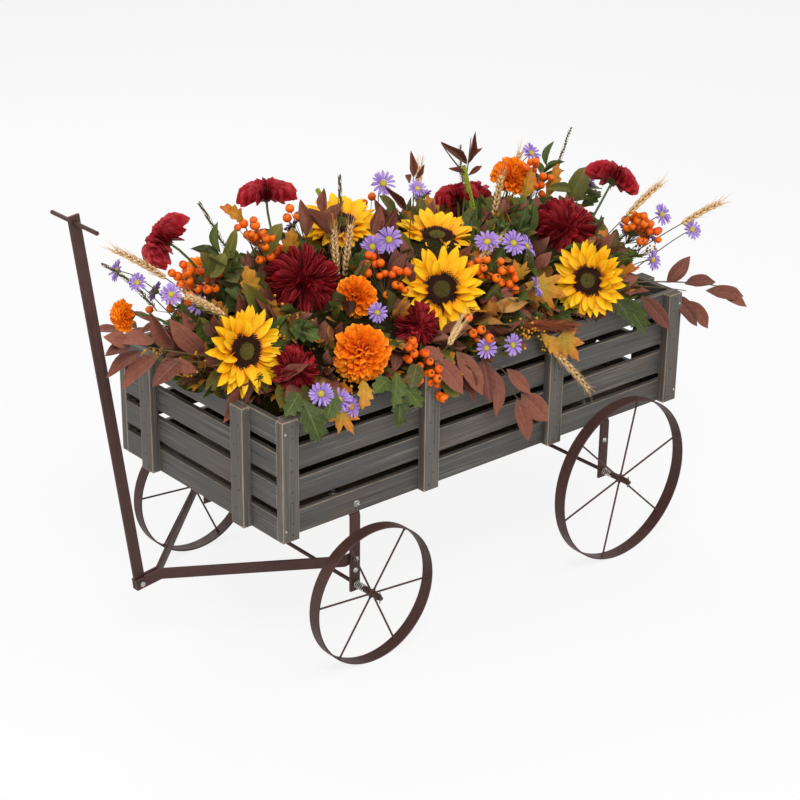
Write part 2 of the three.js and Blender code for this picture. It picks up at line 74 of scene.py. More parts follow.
class Graph:
    def __init__(self, tree):
        self.tree = tree

    def node(self, kind, settings=None, values=None, out=0):
        made = self.tree.nodes.new(kind)
        for name, value in (settings or {}).items():
            if name == "stops":
                self.setStops(made.color_ramp, value)
            else:
                setattr(made, name, value)
        for name, value in (values or {}).items():
            if isinstance(value, Wire):
                self.tree.links.new(value.socket, made.inputs[name])
            else:
                made.inputs[name].default_value = value
        return Wire(self, made.outputs[out])

    def setStops(self, ramp, stops):
        while len(ramp.elements) > 1:
            ramp.elements.remove(ramp.elements[-1])
        for i, (place, tint) in enumerate(stops):
            element = ramp.elements[0] if i == 0 else ramp.elements.new(place)
            element.position = place
            element.color = tint

    def ramp(self, value, stops):
        return self.node("ShaderNodeValToRGB", {"stops": stops}, {0: value})

    def mix(self, share, first, second):
        return self.node("ShaderNodeMix", {"data_type": "RGBA"}, {0: share, 6: first, 7: second}, 2)

    def attribute(self, name, out="Fac"):
        return self.node("ShaderNodeAttribute", {"attribute_name": name}, out=out)

    def stretched(self, vector, scale):
        return self.node("ShaderNodeMapping", None, {0: vector, 3: scale})

    def noise(self, vector, scale, detail=2.0, roughness=0.5):
        values = {"Vector": vector, "Scale": scale, "Detail": detail, "Roughness": roughness}
        return self.node("ShaderNodeTexNoise", None, values)

    def between(self, value, low, high, first=0.0, second=1.0):
        settings = {"interpolation_type": "SMOOTHSTEP"}
        return self.node("ShaderNodeMapRange", settings, {0: value, 1: low, 2: high, 3: first, 4: second})

    def bump(self, height, strength, distance):
        values = {"Height": height, "Strength": strength, "Distance": distance}
        return self.node("ShaderNodeBump", None, values)


def tint(red, green, blue):  # display values 0-255 to the linear colour a shader wants
    channels = [c / 255 for c in (red, green, blue)]
    return tuple(c / 12.92 if c < 0.04045 else ((c + 0.055) / 1.055) ** 2.4 for c in channels) + (1.0,)


def newFinish(name, settings=None):
    finish = bpy.data.materials.new(name)
    finish.use_nodes = True
    shader = finish.node_tree.nodes["Principled BSDF"]
    for socket, value in (settings or {}).items():
        shader.inputs[socket].default_value = value
    graph = Graph(finish.node_tree)

    def feed(**links):
        names = {"colour": "Base Color", "roughness": "Roughness", "normal": "Normal", "metal": "Metallic"}
        for name, wire in links.items():
            graph.tree.links.new(wire.socket, shader.inputs[names[name]])

    return finish, graph, feed


def woodFinish(name, look):
    finish, graph, feed = newFinish(name)
    grain = graph.attribute("grain", "Vector")
    fine = graph.noise(graph.stretched(grain, (5, 300, 300)), 1.0, 4.0, 0.62)
    wide = graph.noise(graph.stretched(grain, (1.6, 34, 34)), 1.0, 3.0, 0.5)
    patch = graph.noise(graph.stretched(grain, (5, 22, 22)), 1.0, 2.0)
    cells = {"Vector": graph.stretched(grain, (2.6, 21, 21)), "Scale": 1.0}
    knots = graph.node("ShaderNodeTexVoronoi", None, cells)
    knot = graph.between(knots, 0.07, 0.0)
    stain = graph.mix(wide, look["stainDark"], look["stain"])
    stain = graph.mix(graph.between(patch, 0.5, 0.78) * look["brownShare"], stain, look["brown"])
    stain = graph.mix(graph.between(fine, 0.52, 0.76) * look["streak"], stain, look["light"])
    stain = graph.mix(graph.between(fine, 0.46, 0.28) * look["streak"], stain, look["deep"])
    stain = graph.mix(knot * 0.6, stain, look["deep"])
    rub = graph.noise(graph.stretched(grain, (28, 120, 120)), 1.0, 3.0, 0.7)
    edge = graph.attribute("edge")
    reach = (rub - 0.5) * look["wearRagged"] + look["wearReach"]
    worn = graph.between(edge - reach, 0.12, -0.05)
    bare = graph.mix(fine, look["bareDark"], look["bare"])
    feed(colour=graph.mix(worn * look["wear"], stain, bare))
    feed(roughness=graph.between(fine, 0.3, 0.75, 0.55, 0.74))
    feed(normal=graph.bump(fine + wide * 0.4, 0.5, 0.0006))
    return finish


slatLook = {
    "stain": tint(90, 87, 83), "stainDark": tint(54, 53, 51), "deep": tint(28, 26, 25),
    "light": tint(128, 122, 113), "brown": tint(94, 76, 63), "brownShare": 0.6, "streak": 0.9,
    "bare": tint(182, 160, 132), "bareDark": tint(128, 108, 86), "wear": 0.6,
    "wearReach": 0.12, "wearRagged": 0.7,
}
battenLook = {
    **slatLook, "stain": tint(100, 95, 88), "stainDark": tint(66, 63, 59), "brownShare": 0.75,
    "wear": 0.85, "wearReach": 0.2, "wearRagged": 0.55,
}
boardLook = {
    **slatLook, "stain": tint(122, 104, 82), "stainDark": tint(86, 70, 54), "light": tint(160, 140, 112),
}


def metalFinish(name, look):
    finish, graph, feed = newFinish(name, {"Coat Roughness": 0.4, "Specular IOR Level": look["gloss"]})
    place = graph.node("ShaderNodeTexCoord", out="Object")
    speck = graph.noise(place, look["speck"], 3.0, 0.7)
    cloud = graph.noise(place, look["cloud"], 3.0, 0.55)
    paint = graph.mix(cloud, look["dark"], look["light"])
    paint = graph.mix(graph.between(speck, 0.6, 0.74) * look["speckShare"], paint, look["speckTint"])
    feed(colour=paint, roughness=graph.between(cloud, 0.3, 0.7, *look["roughness"]))
    feed(metal=graph.between(speck, 0.2, 0.8, *look["metal"]))
    feed(normal=graph.bump(speck + cloud, look["bump"], 0.0004))
    return finish


ironLook = {
    "dark": tint(54, 33, 30), "light": tint(82, 54, 49), "speck": 900, "cloud": 38,
    "speckShare": 0.6, "speckTint": tint(116, 80, 68), "roughness": (0.46, 0.62), "metal": (0.0, 0.1),
    "bump": 0.25, "gloss": 0.3,
}
zincLook = {
    "dark": tint(150, 148, 144), "light": tint(206, 205, 200), "speck": 1400, "cloud": 160,
    "speckShare": 0.35, "speckTint": tint(120, 116, 110), "roughness": (0.26, 0.42), "metal": (0.85, 1.0),
    "bump": 0.12, "gloss": 0.5,
}
steelLook = {
    "dark": tint(52, 49, 46), "light": tint(84, 79, 74), "speck": 1400, "cloud": 160,
    "speckShare": 0.5, "speckTint": tint(96, 70, 54), "roughness": (0.4, 0.6), "metal": (0.6, 0.9),
    "bump": 0.2, "gloss": 0.5,
}
slatWood = woodFinish("slatWood", slatLook)
battenWood = woodFinish("battenWood", battenLook)
boardWood = woodFinish("boardWood", boardLook)
iron = metalFinish("brownIron", ironLook)
zinc = metalFinish("zinc", zincLook)
steel = metalFinish("nailSteel", steelLook)


def setMarks(mesh, marks):  # values or vectors on the points, for the finishes and the copies
    for mark, values in marks.items():
        values = np.asarray(values, float)
        vector = values.ndim == 2
        layer = mesh.attributes.new(mark, "FLOAT_VECTOR" if vector else "FLOAT", "POINT")
        layer.data.foreach_set("vector" if vector else "value", values.ravel())


def smoothed(mesh, sharpAngle):
    mesh.polygons.foreach_set("use_smooth", [True] * len(mesh.polygons))
    mesh.set_sharp_from_angle(angle=math.radians(sharpAngle))
    return mesh


def meshFrom(name, points, faces, marks=None, sharpAngle=40):
    mesh = bpy.data.meshes.new(name)
    mesh.from_pydata([tuple(p) for p in points], [], faces)
    setMarks(mesh, marks or {})
    return smoothed(mesh, sharpAngle)


def linked(name, data):
    made = bpy.data.objects.new(name, data)
    scene.collection.objects.link(made)
    return made


def addPiece(name, mesh, finish, body, replaced=()):
    piece = linked(name, mesh)
    mesh.materials.clear()
    mesh.materials.append(finish)
    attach(piece, body)
    if replaced:
        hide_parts(*replaced)
    return piece


def once(face):  # a face without its repeated corners
    return [v for k, v in enumerate(face) if v not in face[:k]]


def lathe(profile, segments):  # closed turned shape round the Y axis, (radius, y) pairs
    points, faces, rings = [], [], []
    for radius, y in profile:
        if radius == 0:
            rings.append([len(points)] * segments)
            points.append((0, y, 0))
            continue
        rings.append(list(range(len(points), len(points) + segments)))
        for i in range(segments):
            a = 2 * math.pi * i / segments
            points.append((radius * math.cos(a), y, radius * math.sin(a)))
    for first, second in zip(rings, rings[1:]):
        for i in range(segments):
            j = (i + 1) % segments
            face = once([first[i], second[i], second[j], first[j]])
            if len(face) > 2:
                faces.append(face)
    return points, faces


def tube(path, radii, sides=6):  # closed round rod along a path, one radius for each of its points
    path = [Vector(p) for p in path]
    points, faces = [], []
    side = None
    for i, p in enumerate(path):
        along = (path[min(i + 1, len(path) - 1)] - path[max(i - 1, 0)]).normalized()
        if side is None:
            side = along.orthogonal().normalized()
        side = (side - along * side.dot(along)).normalized()
        other = along.cross(side)
        for k in range(sides):
            a = 2 * math.pi * k / sides
            points.append(p + (side * math.cos(a) + other * math.sin(a)) * radii[i])
    for i in range(len(path) - 1):
        for k in range(sides):
            n = (k + 1) % sides
            faces.append([i * sides + k, i * sides + n, (i + 1) * sides + n, (i + 1) * sides + k])
    faces.append(list(range(sides))[::-1])
    faces.append(list(range((len(path) - 1) * sides, len(path) * sides)))
    return points, faces


def joined(shapes):  # several point and face lists as one
    points, faces = [], []
    for shapePoints, shapeFaces in shapes:
        start = len(points)
        points.extend(shapePoints)
        faces.extend([[v + start for v in face] for face in shapeFaces])
    return points, faces


def facingOut(mesh):
    made = bmesh.new()
    made.from_mesh(mesh)
    bmesh.ops.recalc_face_normals(made, faces=made.faces)
    made.to_mesh(mesh)
    made.free()
    return mesh


def copiesTree():  # sets copies of a small shape on points
    tree = bpy.data.node_groups.new("setCopies", "GeometryNodeTree")
    for name, kind in (("Geometry", "Geometry"), ("Shape", "Object"), ("Finish", "Material")):
        tree.interface.new_socket(name, in_out="INPUT", socket_type="NodeSocket" + kind)
    tree.interface.new_socket("Geometry", in_out="OUTPUT", socket_type="NodeSocketGeometry")
    graph = Graph(tree)
    given = tree.nodes.new("NodeGroupInput").outputs
    entry = {socket.name: Wire(graph, socket) for socket in given if socket.name}
    shape = graph.node("GeometryNodeObjectInfo", None, {"Object": entry["Shape"]}, "Geometry")
    vector = {"data_type": "FLOAT_VECTOR"}
    turn = graph.node("GeometryNodeInputNamedAttribute", vector, {"Name": "turn"})
    stretch = graph.node("GeometryNodeInputNamedAttribute", vector, {"Name": "stretch"})
    turned = graph.node("FunctionNodeEulerToRotation", None, {0: turn})
    values = {"Points": entry["Geometry"], "Instance": shape, "Rotation": turned, "Scale": stretch}
    copies = graph.node("GeometryNodeInstanceOnPoints", None, values)
    real = graph.node("GeometryNodeRealizeInstances", None, {0: copies})
    dressed = graph.node("GeometryNodeSetMaterial", None, {"Geometry": real, "Material": entry["Finish"]})
    output = tree.nodes.new("NodeGroupOutput")
    tree.links.new(dressed.socket, output.inputs[0])
    return tree


copies = copiesTree()
shapes = {}


def keepShape(name, mesh):
    shapes[name] = linked("shape" + name, mesh)
    shapes[name].hide_render = True


def frameOf(along, facing):  # +Y runs along, +Z is the upper side
    along = Vector(along).normalized()
    facing = Vector(facing)
    facing = facing - along * facing.dot(along)
    facing = facing.normalized() if facing.length > 1e-6 else along.orthogonal().normalized()
    return Matrix((along.cross(facing), along, facing)).transposed()


class Copies:  # places of one shape, gathered before the tree sets them
    def __init__(self):
        self.rows = []

    def add(self, at, along, facing, size, tone=0.5):
        turn = frameOf(along, facing).to_euler()
        self.rows.append((tuple(at), tuple(turn), tuple(size), tone))

    def mesh(self, shapeName, finish):
        at, turn, stretch, tone = zip(*self.rows)
        points = bpy.data.meshes.new("places")
        points.from_pydata(at, [], [])
        setMarks(points, {"turn": turn, "stretch": stretch, "tone": tone})
        holder = linked("places", points)
        modifier = holder.modifiers.new("copies", "NODES")
        modifier.node_group = copies
        items = copies.interface.items_tree
        inputs = {item.name: item.identifier for item in items if item.in_out == "INPUT"}
        modifier[inputs["Shape"]] = shapes[shapeName]
        modifier[inputs["Finish"]] = finish
        graph = bpy.context.evaluated_depsgraph_get()
        made = bpy.data.meshes.new_from_object(holder.evaluated_get(graph), depsgraph=graph)
        holder.modifiers.clear()
        bpy.data.objects.remove(holder)
        return made


# each board is rounded at its edges and knows its own grain
plank = {"round": 0.0012, "rim": 0.006}


def plankMesh(node, seed):
    low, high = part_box(node)
    half = (high - low) / 2
    centre = (high + low) / 2
    steps = []
    for h in half:
        rim = min(plank["rim"], 0.7 * h)
        steps.append([-h, plank["round"] - h, rim - h, h - rim, h - plank["round"], h])
    longest = max(range(3), key=lambda k: half[k])
    order = [longest] + [k for k in range(3) if k != longest]
    shift = Vector((seed * 0.73 % 1, seed * 0.41 % 1, seed * 0.29 % 1)) * 9
    limits = [h - plank["round"] for h in half]
    points, grain, edge, found, faces = [], [], [], {}, []

    def corner(key):
        if key not in found:
            found[key] = len(points)
            p = Vector([steps[k][key[k]] for k in range(3)])
            core = Vector([max(-limits[k], min(limits[k], p[k])) for k in range(3)])
            points.append(centre + core + (p - core).normalized() * plank["round"])
            grain.append(Vector([p[k] for k in order]) + shift)
            edge.append(min(1.0, sorted(half[k] - abs(p[k]) for k in range(3))[1] / plank["rim"]))
        return found[key]

    for axis in range(3):
        a, b = (axis + 1) % 3, (axis + 2) % 3
        for side in (0, 5):
            for i in range(5):
                for j in range(5):
                    keys = []
                    for u, v in ((i, j), (i + 1, j), (i + 1, j + 1), (i, j + 1)):
                        key = [0, 0, 0]
                        key[axis], key[a], key[b] = side, u, v
                        keys.append(tuple(key))
                    if side == 0:
                        keys.reverse()
                    faces.append([corner(key) for key in keys])
    return meshFrom(node + "Mesh", points, faces, {"grain": grain, "edge": edge}, 70)


def camel(name):
    first, *rest = name.split("_")
    return first + "".join(word.capitalize() for word in rest)


boards = [n for n in sorted(nodes) if "slat" in n or "batten" in n or "floor_board" in n]
for number, node in enumerate(boards):
    wood = slatWood if "slat" in node else battenWood if "batten" in node else boardWood
    slotName = "floor_wood" if "floor" in node else "grey_wood"
    addPiece(camel(node), plankMesh(node, number + 1), wood, "cart", [node])
print("boards:", len(boards))


def softened(node, width, sharpAngle=35):  # the solid with rounded edges
    source = nodes[node].data
    made = bmesh.new()
    made.from_mesh(source)
    bmesh.ops.remove_doubles(made, verts=made.verts, dist=2e-5)
    bmesh.ops.dissolve_limit(made, angle_limit=math.radians(0.5), verts=made.verts, edges=made.edges)
    sharp = math.radians(sharpAngle)
    edges = [e for e in made.edges if len(e.link_faces) == 2 and e.calc_face_angle(0) > sharp]
    bmesh.ops.bevel(made, geom=edges, offset=width, segments=2, profile=0.5, affect="EDGES",
                    clamp_overlap=True)
    bmesh.ops.recalc_face_normals(made, faces=made.faces)
    mesh = bpy.data.meshes.new(node + "Mesh")
    made.to_mesh(mesh)
    made.free()
    return smoothed(mesh, sharpAngle)


roundings = {"iron": 0.0007, "bolt": 0.0005}
ironNodes = {"front_bracket": "cart", "rear_bracket": "cart", "front_axle": "cart", "rear_axle": "cart",
             "tongue_left_bar": "tongue", "tongue_right_bar": "tongue", "handle_bar": "handle",
             "handle_grip": "handle"}
for node, body in ironNodes.items():
    addPiece(camel(node), softened(node, roundings["iron"]), iron, body, [node])
boltNodes = {"tongue_left_bolt": "cart", "tongue_right_bolt": "cart", "handle_bolt": "tongue"}
for node, body in boltNodes.items():
    addPiece(camel(node), softened(node, roundings["bolt"]), zinc, body, [node])

wheel = {
    "band": 0.028, "thick": 0.003, "spokes": 6, "hub": 0.0065, "hubLength": 0.044, "bore": 0.0043,
    "round": 0.0007, "segments": 128, "frontPhase": -5, "rearPhase": 17,
    # a spoke is thicker at its two welds: its radii, and their places from the hub and from the band
    "girths": [0.0042, 0.0036, 0.0026, 0.002, 0.002, 0.003, 0.0042],
    "nearHub": [-0.0012, 0.0012, 0.003, 0.006], "nearBand": [-0.004, -0.0016, 0.0008],
}


def wheelMesh(node):
    low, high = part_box(node)
    centre = (low + high) / 2
    radius = (high.z - low.z) / 2
    inner, b, c = radius - wheel["thick"], wheel["band"] / 2, wheel["round"]
    rim = [(inner + c, -b), (radius - c, -b), (radius, c - b), (radius, b - c), (radius - c, b),
           (inner + c, b), (inner, b - c), (inner, c - b), (inner + c, -b)]
    h, r, bore = wheel["hubLength"] / 2, wheel["hub"], wheel["bore"]
    hub = [(bore, -h + c), (bore + c, -h), (r - c, -h), (r, c - h), (r, h - c), (r - c, h), (bore + c, h),
           (bore, h - c), (bore, -h + c)]
    parts = [lathe(rim, wheel["segments"]), lathe(hub, 32)]
    places = [r + d for d in wheel["nearHub"]] + [inner + d for d in wheel["nearBand"]]
    phase = math.radians(wheel["frontPhase"] if "front" in node else wheel["rearPhase"])
    for i in range(wheel["spokes"]):
        a = phase + 2 * math.pi * i / wheel["spokes"]
        out = Vector((math.cos(a), 0, math.sin(a)))
        parts.append(tube([out * d for d in places], wheel["girths"], 10))
    points, faces = joined(parts)
    mesh = meshFrom(node + "Mesh", [centre + Vector(p) for p in points], faces)
    return facingOut(mesh)


cartCorners = ("front_left", "front_right", "rear_left", "rear_right")
for side in cartCorners:
    node = side + "_wheel"
    addPiece(camel(node), wheelMesh(node), iron, node, [node])

spring = {"wire": 0.0018, "curls": 5, "stepsPerCurl": 24, "sides": 8}


def springMesh(node):
    low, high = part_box(node)
    centre = (low + high) / 2
    r, w = (high.z - low.z) / 2 - spring["wire"] / 2, spring["wire"] / 2
    path = []
    steps = spring["curls"] * spring["stepsPerCurl"]
    for i in range(steps + 1):
        a = 2 * math.pi * i / spring["stepsPerCurl"]
        y = low.y + w * 2 + (high.y - low.y - 4 * w) * i / steps
        path.append((centre.x + r * math.cos(a), y, centre.z + r * math.sin(a)))
    return meshFrom(node + "Mesh", *tube(path, [w] * len(path), spring["sides"]))


for side in cartCorners:
    node = side + "_spring"
    addPiece(camel(node), facingOut(springMesh(node)), zinc, "cart", [node])
print("running gear done")

fastener = {
    "nail": 0.0036, "screw": 0.0052, "floorBolt": 0.018, "sideBolt": 0.014, "dome": 0.012,
    "nailRise": 0.012, "nailInset": 0.022, "screwInset": 0.007, "wobble": 0.0015,
    "floorBoltY": 0.174, "sideBoltDrop": 0.006, "domeDrop": {"front": 0.128, "rear": 0.05},
}


def fastenerShapes():
    r = 0.5
    nail = lathe([(0, -0.3), (r, -0.3), (r, 0.06), (0.8 * r, 0.16), (0, 0.2)], 12)
    keepShape("Nail", facingOut(meshFrom("nail", *nail, sharpAngle=50)))
    cross = [(0, -0.4), (r, -0.4), (r, 0.05), (0.86 * r, 0.16), (0.3 * r, 0.2), (0.14 * r, 0.02), (0, 0.0)]
    keepShape("Screw", facingOut(meshFrom("screw", *lathe(cross, 16), sharpAngle=40)))
    washer = lathe([(0, -0.1), (r, -0.1), (r, 0.06), (0.95 * r, 0.1), (0, 0.1)], 24)
    head = lathe([(0, 0.05), (0.56 * r, 0.05), (0.56 * r, 0.3), (0.48 * r, 0.36), (0, 0.38)], 6)
    tail = lathe([(0, 0.3), (0.3 * r, 0.3), (0.3 * r, 0.5), (0.24 * r, 0.54), (0, 0.55)], 14)
    keepShape("Bolt", facingOut(meshFrom("bolt", *joined([washer, head, tail]), sharpAngle=30)))
    dome = [(0, -0.2), (r, -0.2), (r, 0.02), (0.85 * r, 0.16), (0.5 * r, 0.27), (0, 0.31)]
    keepShape("Dome", facingOut(meshFrom("dome", *lathe(dome, 20), sharpAngle=50)))


fastenerShapes()
nails, screws, bolts, domes = Copies(), Copies(), Copies(), Copies()
up = Vector((0, 0, 1))
chance = random.Random(5)


def fasten(group, at, out, width):
    group.add(at, out, up, (width, width, width), chance.random())


def wobble():
    return chance.uniform(-fastener["wobble"], fastener["wobble"])


def boxOf(node):
    low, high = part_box(node)
    return low, high, (low + high) / 2


for side, outward in (("left", -1), ("right", 1)):
    out = Vector((0, outward, 0))
    for number in range(1, 5):
        low, high, middle = boxOf(f"{side}_batten_{number}")
        face = low.y if outward < 0 else high.y
        corner = number in (1, 4)
        edgeX = (low.x if number == 1 else high.x) if corner else middle.x
        inward = 1 if number == 1 else -1
        for row in range(1, 5):
            z = boxOf(f"{side}_slat_{row}")[2].z
            for dz in (-fastener["nailRise"], fastener["nailRise"]):
                x = edgeX + inward * fastener["nailInset"] if corner else middle.x + dz * 0.4
                fasten(nails, Vector((x + wobble(), face, z + dz + wobble())), out, fastener["nail"])
            if corner and row in (1, 4):
                fasten(screws, (edgeX + inward * fastener["screwInset"], face, z), out, fastener["screw"])
for end, outward in (("front", -1), ("rear", 1)):
    out = Vector((outward, 0, 0))
    for number in (1, 2):
        low, high, middle = boxOf(f"{end}_batten_{number}")
        face = low.x if outward < 0 else high.x
        for row in range(1, 5):
            z = boxOf(f"{end}_slat_{row}")[2].z
            for dz in (-fastener["nailRise"], fastener["nailRise"]):
                y = middle.y + dz * 0.5
                fasten(nails, Vector((face, y + wobble(), z + dz + wobble())), out, fastener["nail"])

axles = {end: boxOf(f"{end}_axle")[2] for end in ("front", "rear")}
cartX = (axles["front"].x + axles["rear"].x) / 2
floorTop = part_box("floor_board_1")[1].z
slatLow, _, slatMiddle = boxOf("left_slat_1")
for end in ("front", "rear"):
    for side in (-1, 1):
        x = axles[end].x
        fasten(bolts, (x, side * fastener["floorBoltY"], floorTop), up, fastener["floorBolt"])
        fasten(bolts, (x, -side * slatLow.y, slatMiddle.z - fastener["sideBoltDrop"]), (0, side, 0),
               fastener["sideBolt"])
for end, drop in fastener["domeDrop"].items():
    low, high, middle = boxOf(f"{end}_bracket")
    for side, legY in ((-1, low.y), (1, high.y)):
        fasten(domes, (middle.x, legY, high.z - drop), (0, side, 0), fastener["dome"])

for name, group, shape, finish in (
        ("boardNails", nails, "Nail", steel), ("battenScrews", screws, "Screw", zinc),
        ("bracketBolts", bolts, "Bolt", zinc), ("legRivets", domes, "Dome", zinc)):
    addPiece(name, group.mesh(shape, finish), finish, "cart")
print("fasteners:", len(nails.rows) + len(screws.rows) + len(bolts.rows) + len(domes.rows))


def bladeMesh(name, look):  # closed thin leaf or petal, 1 long and 1 wide, that the copies stretch
    rows, half = look["rows"], look.get("half", 1)
    thick, cup, fold = look.get("thick", 0.02), look.get("cup", 0.0), look.get("fold", 0.0)
    bend, ruffle, waves = look.get("bend", 0.0), look.get("ruffle", 0.0), look.get("waves", 3)
    lobes, lobeDepth = look.get("lobes", 0), look.get("lobeDepth", 0.0)
    level = look.get("level", 0.0)  # 0.5 sets the tip straight ahead of the foot
    places, widths = zip(*look["widths"])
    points, along, across, under, faces, rings = [], [], [], [], [], []
    y = z = 0.0
    previous = 0.0
    for i in range(rows + 1):
        t = i / rows
        heading = bend * ((t + previous) / 2 - level)
        y += (t - previous) * math.cos(heading)
        z += (t - previous) * math.sin(heading)
        previous = t
        angle = bend * (t - level)
        width = float(np.interp(t, places, widths))
        peak = 0.5 - 0.5 * math.cos(2 * math.pi * lobes * t) if lobes else 0
        width *= 1 - lobeDepth + lobeDepth * peak if lobes and 0.1 < t < 0.95 else 1
        ring = []
        sides = [0] if i in (0, rows) else range(-half, half + 1)
        layers = (0,) if i in (0, rows) else (0, 1)
        for layer in layers:
            for k in sides if layer == 0 else list(sides)[1:-1][::-1]:
                s = k / half
                rise = (cup * s * s + fold * abs(s)) * width
                rise += ruffle * abs(s) * math.sin(2 * math.pi * waves * t + (1.3 if s > 0 else 0))
                rise += (0.5 - layer) * thick * (1 - s * s)
                forward = 0.07 * peak * abs(s) if lobes else 0
                points.append((s * width / 2, y + forward - math.sin(angle) * rise,
                               z + math.cos(angle) * rise))
                along.append(t)
                across.append(s)
                under.append(float(layer))
                ring.append(len(points) - 1)
        rings.append(ring)
    count = len(rings[1])
    for first, second in zip(rings, rings[1:]):
        for k in range(count):
            n = (k + 1) % count
            corners = ((first, k), (first, n), (second, n), (second, k))
            faces.append(once([ring[i % len(ring)] for ring, i in corners]))
    mesh = meshFrom(name, points, faces, {"along": along, "across": across, "under": under}, 75)
    return facingOut(mesh)


# width at each share of a blade's length
lance = [(0, 0.05), (0.12, 0.45), (0.3, 0.92), (0.45, 1), (0.65, 0.82), (0.85, 0.38), (1, 0)]
broad = [(0, 0.04), (0.08, 0.38), (0.25, 0.9), (0.42, 1), (0.62, 0.9), (0.8, 0.55), (0.92, 0.22), (1, 0)]
spoon = [(0, 0.35), (0.3, 0.62), (0.6, 0.95), (0.8, 0.9), (0.93, 0.5), (1, 0)]
frill = [(0, 0.3), (0.5, 0.7), (0.8, 1), (0.96, 0.9), (1, 0)]
ray = [(0, 0.5), (0.18, 0.84), (0.42, 1), (0.68, 0.9), (0.88, 0.48), (1, 0)]
strapLeaf = [(0, 0.5), (0.4, 0.9), (0.75, 1), (0.92, 0.75), (1, 0)]
ovate = [(0, 0.06), (0.15, 0.7), (0.4, 1), (0.7, 0.86), (0.9, 0.5), (1, 0)]
lobed = [(0, 0.06), (0.1, 0.4), (0.3, 0.92), (0.5, 1), (0.75, 0.7), (0.9, 0.34), (1, 0)]
bladeLooks = {
    "SunPetal": {"rows": 8, "half": 2, "widths": ray, "cup": 0.16, "bend": 0.1, "fold": -0.05},
    "SunPetalCurled": {"rows": 8, "half": 2, "widths": ray, "cup": 0.3, "bend": -0.6},
    "MumPetal": {"rows": 6, "widths": spoon, "thick": 0.08, "cup": 0.5, "bend": 0.8},
    "MumPetalOut": {"rows": 6, "widths": spoon, "thick": 0.08, "cup": 0.45, "bend": -0.1},
    "FrillPetal": {
        "rows": 7, "half": 2, "widths": frill, "thick": 0.04, "cup": 0.18, "bend": 0.3, "ruffle": 0.09,
        "waves": 3.4,
    },
    "AsterPetal": {"rows": 5, "widths": strapLeaf, "thick": 0.03, "cup": 0.12, "bend": -0.18},
    "Broad": {
        "rows": 9, "half": 3, "widths": broad, "thick": 0.01, "fold": 0.16, "cup": -0.1, "bend": -0.6,
        "level": 0.5, "ruffle": 0.012, "waves": 2,
    },
    "BroadCurled": {
        "rows": 9, "half": 3, "widths": broad, "thick": 0.01, "fold": 0.3, "bend": 0.8, "level": 0.5,
        "ruffle": 0.03, "waves": 2,
    },
    "Lance": {
        "rows": 8, "half": 2, "widths": lance, "thick": 0.012, "fold": 0.2, "bend": -0.5, "level": 0.5,
    },
    "Ovate": {
        "rows": 7, "half": 2, "widths": ovate, "thick": 0.012, "fold": 0.14, "bend": -0.4, "level": 0.5,
    },
    "Lobed": {
        "rows": 18, "half": 2, "widths": lobed, "thick": 0.012, "fold": 0.14, "bend": -0.6, "level": 0.5,
        "lobes": 4.5, "lobeDepth": 0.34, "ruffle": 0.02,
    },
    "Needle": {"rows": 3, "widths": strapLeaf, "thick": 0.1, "bend": 0.3},
}
for name, look in bladeLooks.items():
    keepShape(name, bladeMesh(name, look))

maple = {
    "outline": [  # angle and reach, one half of the leaf
        (90, 0.74), (82, 0.55), (78, 0.56), (70, 0.36), (58, 0.5), (50, 0.62), (43, 0.47), (38, 0.46),
        (26, 0.29), (14, 0.4), (5, 0.47), (-4, 0.36), (-20, 0.2), (-42, 0.27), (-58, 0.18),
    ],
    "tips": (90, 50, 5, -42, 130, 175, 222), "tipWidth": 22, "centre": 0.26, "droop": 0.32, "pleat": 0.05,
    "thick": 0.012,
}


def mapleMesh():
    half = maple["outline"]
    outline = sorted(half + [(180 - a, r) for a, r in half[:0:-1]], key=lambda pair: pair[0])
    points, along, across, under, rings = [], [], [], [], []

    def put(a, reach, layer):
        nearest = min(abs(a - tip) for tip in maple["tips"]) / maple["tipWidth"]
        x, y = reach * math.cos(math.radians(a)), reach * math.sin(math.radians(a))
        z = -maple["droop"] * reach * reach - maple["pleat"] * min(1, nearest) * reach * 2
        edge = 0.5 if layer is None else 1 - layer
        points.append((x, y + maple["centre"], z + (edge - 0.5) * maple["thick"]))
        along.append(min(1, reach / 0.74))
        across.append(min(1, nearest))
        under.append(float(layer or 0))
        return len(points) - 1

    top = put(90, 0, 0)
    for share, layer in ((0.36, 0), (0.7, 0), (1, None), (0.7, 1), (0.36, 1)):
        rings.append([put(a, r * share, layer) for a, r in outline])
    low = put(90, 0, 1)
    faces, count = [], len(outline)
    for k in range(count):
        n = (k + 1) % count
        faces.append([top, rings[0][k], rings[0][n]])
        faces.append([low, rings[-1][n], rings[-1][k]])
        for first, second in zip(rings, rings[1:]):
            faces.append([first[k], second[k], second[n], first[n]])
    mesh = meshFrom("maple", points, faces, {"along": along, "across": across, "under": under}, 75)
    return facingOut(mesh)


def turnedShape(name, profile, segments):
    points, faces = lathe(profile, segments)
    high = max(p[1] for p in points)
    lowest = min(p[1] for p in points)
    marks = {"along": [(p[1] - lowest) / (high - lowest) for p in points], "across": [0.5] * len(points),
             "under": [0] * len(points)}
    keepShape(name, facingOut(meshFrom(name, points, faces, marks, 60)))


